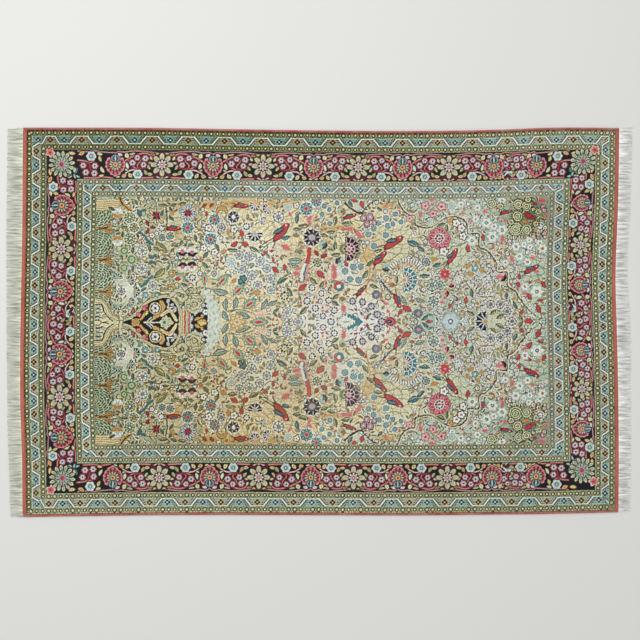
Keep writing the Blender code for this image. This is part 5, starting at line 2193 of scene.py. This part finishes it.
def carried_profile(side, shares, inward, height, swell):
    """Rings of a closed profile carried along an edge, each scaled by its swell about its own middle. The
    profile runs from its outer side over its top, so the faces point outward."""
    middle_in, middle_up = (inward.min() + inward.max()) / 2, height.max() / 2
    rings = []
    for inset, up in zip(inward, height):
        x, y = edge_place(side, shares, middle_in + (inset - middle_in) * swell)
        rings.append(np.stack([x, y, middle_up + (up - middle_up) * swell], axis=-1))
    points = np.stack(rings, axis=1)
    faces = grid_faces(len(shares), len(inward), closed=True)
    if side in ("near", "right"):
        faces = faces[:, ::-1]
    return points.reshape(-1, 3), faces


def end_stations(length, step, clear=0.0, rounding=3.0 * MM):
    """Shares along an edge at even steps, closer at both ends, and the swell that rounds the ends off."""
    close = np.array([0.0, 0.02, 0.1, 0.25, 0.45, 0.7]) * rounding
    middle = np.linspace(rounding, length - 2 * clear - rounding, round((length - 2 * clear) / step))
    place = np.concatenate([close, middle, length - 2 * clear - close[::-1]])
    to_end = np.minimum(np.minimum(place, length - 2 * clear - place), rounding)
    swell = np.sqrt(np.maximum(1.0 - (1.0 - to_end / rounding) ** 2, 0.0))
    return (place + clear) / length, swell


def overcast_selvedge(side, colour_material):
    """The wrapped cord along a long side: a D-shaped section, its girth uneven by groups of wraps."""
    shares, swell = end_stations(LENGTH, 1.6 * MM)
    run = shares * LENGTH / MM
    uneven = 0.022 * np.sin(run * 2 * np.pi / 6.1 + 1.5 * np.sin(run / 17.0)) + 0.02 * np.sin(run / 29.0)
    turn = np.linspace(0.0, 2 * np.pi, 13)[:-1]
    inward = SELVEDGE_WIDTH / 2 * (1.0 - 0.97 * np.cos(turn))
    height = np.maximum(SELVEDGE_TOP * (0.40 + 0.58 * np.sin(turn)), 0.0)
    points, faces = carried_profile(side, shares, inward, height, swell * (0.975 + uneven * 0.6))
    piece = new_piece("overcast_" + side, points, faces, colour_material, "red_overcast")
    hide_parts("selvedge_" + side)
    return piece


def weave_web(side, material):
    """The flat woven web at a short end, between the two selvedges, with softened edges."""
    shares, swell = end_stations(WIDTH, 3.0 * MM, SELVEDGE_WIDTH + GAP, 1.2 * MM)
    inward = np.array([0.05, 0.0, 0.0, 0.07, 0.5, 0.93, 1.0, 1.0, 0.95, 0.5]) * WEB_WIDTH
    height = np.array([0.0, 0.17, 0.71, 0.98, 1.0, 0.98, 0.71, 0.17, 0.0, 0.0]) * WEB_TOP
    points, faces = carried_profile(side, shares, inward, height, swell)
    piece = new_piece("web_" + side, points, faces, material, "red_web")
    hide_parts("end_band_" + side)
    return piece


LEFT_FRINGE_LENGTH = (
    # across from the near side, length in mm
    (0.00, 33.0),
    (0.14, 37.5),
    (0.30, 36.0),
    (0.51, 38.7),
    (0.71, 43.5),
    (1.00, 42.0),
)
RIGHT_FRINGE_LENGTH = (
    # across from the near side, length in mm
    (0.00, 33.3),
    (0.30, 34.8),
    (0.51, 37.9),
    (0.60, 33.8),
    (0.82, 34.3),
    (1.00, 36.6),
)
# The strip of weft that the strands are fused to, and the rings in each strand
STRIP_WIDTH = 2.6 * MM
STRIP_TOP = 1.9 * MM
STRAND_STEPS = 8


def knot_fringe(side, table, locks, strands, material):
    """Warp ends in locks of a few strands. Each strand is a three-sided tube that leaves the weft strip,
    leans with its neighbours by two slow waves, wanders a little and drops to the floor."""
    numbers = np.random.default_rng(FRINGE_SEED + (side == "right"))
    place = np.repeat((np.arange(locks) + 0.5) / locks, strands)
    beside = np.tile(np.arange(strands) - (strands - 1) / 2, locks)
    pitch = WIDTH / locks / strands
    wave = place * 120 - 0.5
    end = float(side == "right")
    lean = 1.6 * MM * np.sin(wave * 0.31 + end) + 1.1 * MM * np.sin(wave * 0.83 + 2 * end)
    length = smooth_curve(table, place) * MM - GAP
    length *= 1.0 - 0.08 * numbers.random(len(place)) - 0.04 * np.repeat(numbers.random(locks), strands)
    share = np.linspace(0.0, 1.0, STRAND_STEPS + 1)[:, None]
    out = GAP + 1.2 * MM + (length - 1.2 * MM) * share
    x, y = edge_place(side, place, -out)
    phase = numbers.uniform(0.0, 2 * np.pi, len(place))
    stray = numbers.uniform(-1.3, 1.3, len(place)) * MM
    y = y + beside * pitch * (1.0 - 0.25 * share) + lean * share**2 + stray * share**1.5
    y = y + 0.5 * MM * np.sin(share * 7.0 + phase) * share
    radius = (0.60 - 0.22 * share) * MM
    middle = radius + (0.75 - 0.55 * share + 0.35 * numbers.random(len(place)) * np.sin(share * np.pi)) * MM
    rings = []
    for turn in np.radians((30.0, 150.0, 270.0)):
        rings.append(np.stack([x, y + radius * np.cos(turn), middle + radius * np.sin(turn)], axis=-1))
    points = np.stack(rings, axis=1).transpose(2, 0, 1, 3)
    tube = grid_faces(STRAND_STEPS + 1, 3, closed=True)
    starts = np.arange(len(place))[:, None, None] * (3 * (STRAND_STEPS + 1))
    faces = (tube[None] + starts).reshape(-1, 4)
    if side == "left":
        faces = faces[:, ::-1]
    clear = SELVEDGE_WIDTH * 0.2
    shares, swell = end_stations(WIDTH, 3.0 * MM, clear, 1.2 * MM)
    inward = -GAP - np.array([0.88, 1.0, 1.0, 0.88, 0.5, 0.12, 0.0, 0.0, 0.12, 0.5]) * STRIP_WIDTH
    height = np.array([0.0, 0.15, 0.68, 0.95, 1.0, 0.95, 0.68, 0.15, 0.0, 0.0]) * STRIP_TOP
    strip_points, strip_faces = carried_profile(side, shares, inward, height, swell)
    points = np.concatenate([points.reshape(-1, 3), strip_points])
    faces = np.concatenate([faces, strip_faces + len(points) - len(strip_points)])
    piece = new_piece("warp_" + side, points, faces, material, "warp_fringe")
    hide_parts("fringe_" + side)
    return piece


# Stage


def set_stage(settings):
    """Pale floor, soft light and the camera straight above."""
    side = 6.0
    floor = new_piece(
        "floor",
        np.array([(-side, -side, 0), (side, -side, 0), (side, side, 0), (-side, side, 0)]),
        np.array([(0, 1, 2, 3)]),
        floor_material(settings.floor_colour),
        smooth=False,
    )
    scene = bpy.context.scene
    scene.view_settings.view_transform = "Standard"
    world = bpy.data.worlds.new("studio")
    scene.world = world
    world.use_nodes = True
    world.node_tree.nodes["Background"].inputs[0].default_value = (1.0, 1.0, 1.0, 1.0)
    world.node_tree.nodes["Background"].inputs[1].default_value = settings.room_light
    light = bpy.data.lights.new("soft_window", "AREA")
    light.size = 2.5
    light.energy = settings.window_power
    lamp = bpy.data.objects.new("soft_window", light)
    lamp.location = (-1.2, 1.4, 2.6)
    lamp.rotation_euler = (-lamp.location).to_track_quat("-Z", "Y").to_euler()
    bpy.context.collection.objects.link(lamp)
    camera = bpy.data.cameras.new("camera")
    camera.lens = settings.lens
    camera.sensor_width = 36
    eye = bpy.data.objects.new("camera", camera)
    shot_wide = PHOTO_SIZE * CHART_UNIT
    middle_x = SHIFT_X + (PHOTO_SIZE / 2 - CHART_LEFT) * CHART_UNIT - LENGTH / 2
    middle_y = SHIFT_Y + WIDTH / 2 - (PHOTO_SIZE / 2 - CHART_FAR) * CHART_UNIT
    eye.location = (middle_x, middle_y, PILE_TOP + shot_wide * camera.lens / camera.sensor_width)
    bpy.context.collection.objects.link(eye)
    scene.camera = eye


# Add-on


def colour_setting(name, description, code):
    """A colour that a user may change, with a default given as sRGB hex."""
    default = tuple(linear(code))
    return bpy.props.FloatVectorProperty(
        name=name, description=description, subtype="COLOR", size=3, min=0.0, max=1.0, default=default
    )


class RugKnotting(bpy.types.PropertyGroup):
    """Sizes of the knotted cloth."""

    pile_pitch: bpy.props.FloatProperty(
        name="Knot pitch",
        description="Size of one cell of the pile's grid, each with four colour samples",
        default=KNOT_PITCH,
        min=1 * MM,
        max=20 * MM,
        unit="LENGTH",
        precision=4,
    )
    back_pitch: bpy.props.FloatProperty(
        name="Back pitch",
        description="Size of one cell of the underside's grid",
        default=8.0 * MM,
        min=2 * MM,
        max=50 * MM,
        unit="LENGTH",
        precision=4,
    )


class RugEdges(bpy.types.PropertyGroup):
    """Colours and counts of the bound edges and fringes."""

    overcast_red: colour_setting("Overcast silk", "Colour of the silk wrapped round the long edges", "B9504C")
    web_red: colour_setting("Web silk", "Colour of the woven web at each short end", "C56E5B")
    warp_grey: colour_setting("Greyed warp", "Colour of the undyed warp ends on the left", "E2E4D2")
    warp_white: colour_setting("Clean warp", "Colour of the undyed warp ends on the right", "FDFDFA")
    locks: bpy.props.IntProperty(
        name="Locks", description="Locks of warp along each short end", default=330, min=40, max=600
    )
    strands: bpy.props.IntProperty(
        name="Strands", description="Strands of warp in each lock", default=3, min=1, max=6
    )


class RugStudio(bpy.types.PropertyGroup):
    """Floor, light and lens."""

    floor_colour: colour_setting("Floor", "Colour of the plain floor", "EDEDEA")
    room_light: bpy.props.FloatProperty(
        name="Room light", description="Strength of the light from all round", default=0.62, min=0.0, max=5.0
    )
    window_power: bpy.props.FloatProperty(
        name="Window",
        description="Power of the soft window light",
        default=38.0,
        min=0.0,
        max=500.0,
        unit="POWER",
    )
    lens: bpy.props.FloatProperty(
        name="Lens",
        description="Focal length in millimetres",
        default=60.0,
        min=20.0,
        max=200.0,
        subtype="DISTANCE_CAMERA",
    )


class RUG_OT_knot_pile(bpy.types.Operator):
    """Knot the silk pile and clip its edge"""

    bl_idname = "rug.knot_pile"
    bl_label = "Knot Pile"

    def execute(self, context):
        pieces = knot_pile_pieces(context.scene.rug_knotting.pile_pitch)
        if not all(len(piece.data.polygons) for piece in pieces):
            raise RuntimeError("a piece of the pile has no faces")
        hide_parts("knotted_pile")
        return {"FINISHED"}


class RUG_OT_overcast_selvedges(bpy.types.Operator):
    """Overcast both long sides in red silk"""

    bl_idname = "rug.overcast_selvedges"
    bl_label = "Overcast Selvedges"

    def execute(self, context):
        material = overcast_material(context.scene.rug_edges.overcast_red)
        for side in ("far", "near"):
            overcast_selvedge(side, material)
        return {"FINISHED"}


class RUG_OT_weave_webs(bpy.types.Operator):
    """Weave the red web at both short ends"""

    bl_idname = "rug.weave_webs"
    bl_label = "Weave Webs"

    def execute(self, context):
        material = web_material(context.scene.rug_edges.web_red)
        for side in ("left", "right"):
            weave_web(side, material)
        return {"FINISHED"}


class RUG_OT_knot_fringes(bpy.types.Operator):
    """Leave the warp ends as a fringe at both short ends"""

    bl_idname = "rug.knot_fringes"
    bl_label = "Knot Fringes"

    def execute(self, context):
        edges = context.scene.rug_edges
        greyed = warp_material("greyed", edges.warp_grey)
        clean = warp_material("clean", edges.warp_white)
        knot_fringe("left", LEFT_FRINGE_LENGTH, edges.locks, edges.strands, greyed)
        knot_fringe("right", RIGHT_FRINGE_LENGTH, edges.locks, edges.strands, clean)
        return {"FINISHED"}


class RUG_OT_lay_foundation(bpy.types.Operator):
    """Lay the foundation under the pile, as the one sheet that carries every other piece"""

    bl_idname = "rug.lay_foundation"
    bl_label = "Lay Foundation"

    def execute(self, context):
        foundation = lay_knot_backs(context.scene.rug_knotting.back_pitch)
        carried = [
            thing
            for thing in bpy.data.objects
            if thing.name.startswith(("pile_", "overcast_", "web_", "warp_"))
        ]
        if not carried:
            raise RuntimeError("the foundation comes after the pieces that it carries")
        return {"FINISHED"}


class RUG_OT_set_stage(bpy.types.Operator):
    """Set the floor, light and camera"""

    bl_idname = "rug.set_stage"
    bl_label = "Set Stage"

    def execute(self, context):
        set_stage(context.scene.rug_studio)
        return {"FINISHED"}


OPERATORS = (
    RUG_OT_knot_pile,
    RUG_OT_overcast_selvedges,
    RUG_OT_weave_webs,
    RUG_OT_knot_fringes,
    RUG_OT_lay_foundation,
    RUG_OT_set_stage,
)


class RUG_PT_maker(bpy.types.Panel):
    """Lists the steps of making the rug."""

    bl_label = "Kashmir Silk Rug"
    bl_idname = "RUG_PT_maker"
    bl_space_type = "VIEW_3D"
    bl_region_type = "UI"
    bl_category = "Rug"

    def draw(self, context):
        for settings in (context.scene.rug_knotting, context.scene.rug_edges, context.scene.rug_studio):
            box = self.layout.box()
            for name in settings.__annotations__:
                box.prop(settings, name)
        for operator in OPERATORS:
            self.layout.operator(operator.bl_idname)


SETTINGS = {"rug_knotting": RugKnotting, "rug_edges": RugEdges, "rug_studio": RugStudio}


def register():
    for item in (*SETTINGS.values(), *OPERATORS, RUG_PT_maker):
        bpy.utils.register_class(item)
    for name, group in SETTINGS.items():
        setattr(bpy.types.Scene, name, bpy.props.PointerProperty(type=group))


def unregister():
    for name in SETTINGS:
        delattr(bpy.types.Scene, name)
    for item in (RUG_PT_maker, *reversed(OPERATORS), *reversed(SETTINGS.values())):
        bpy.utils.unregister_class(item)


def main():
    register()
    for operator in OPERATORS:
        group, step = operator.bl_idname.split(".")
        getattr(getattr(bpy.ops, group), step)()


if __name__ == "__main__":
    main()
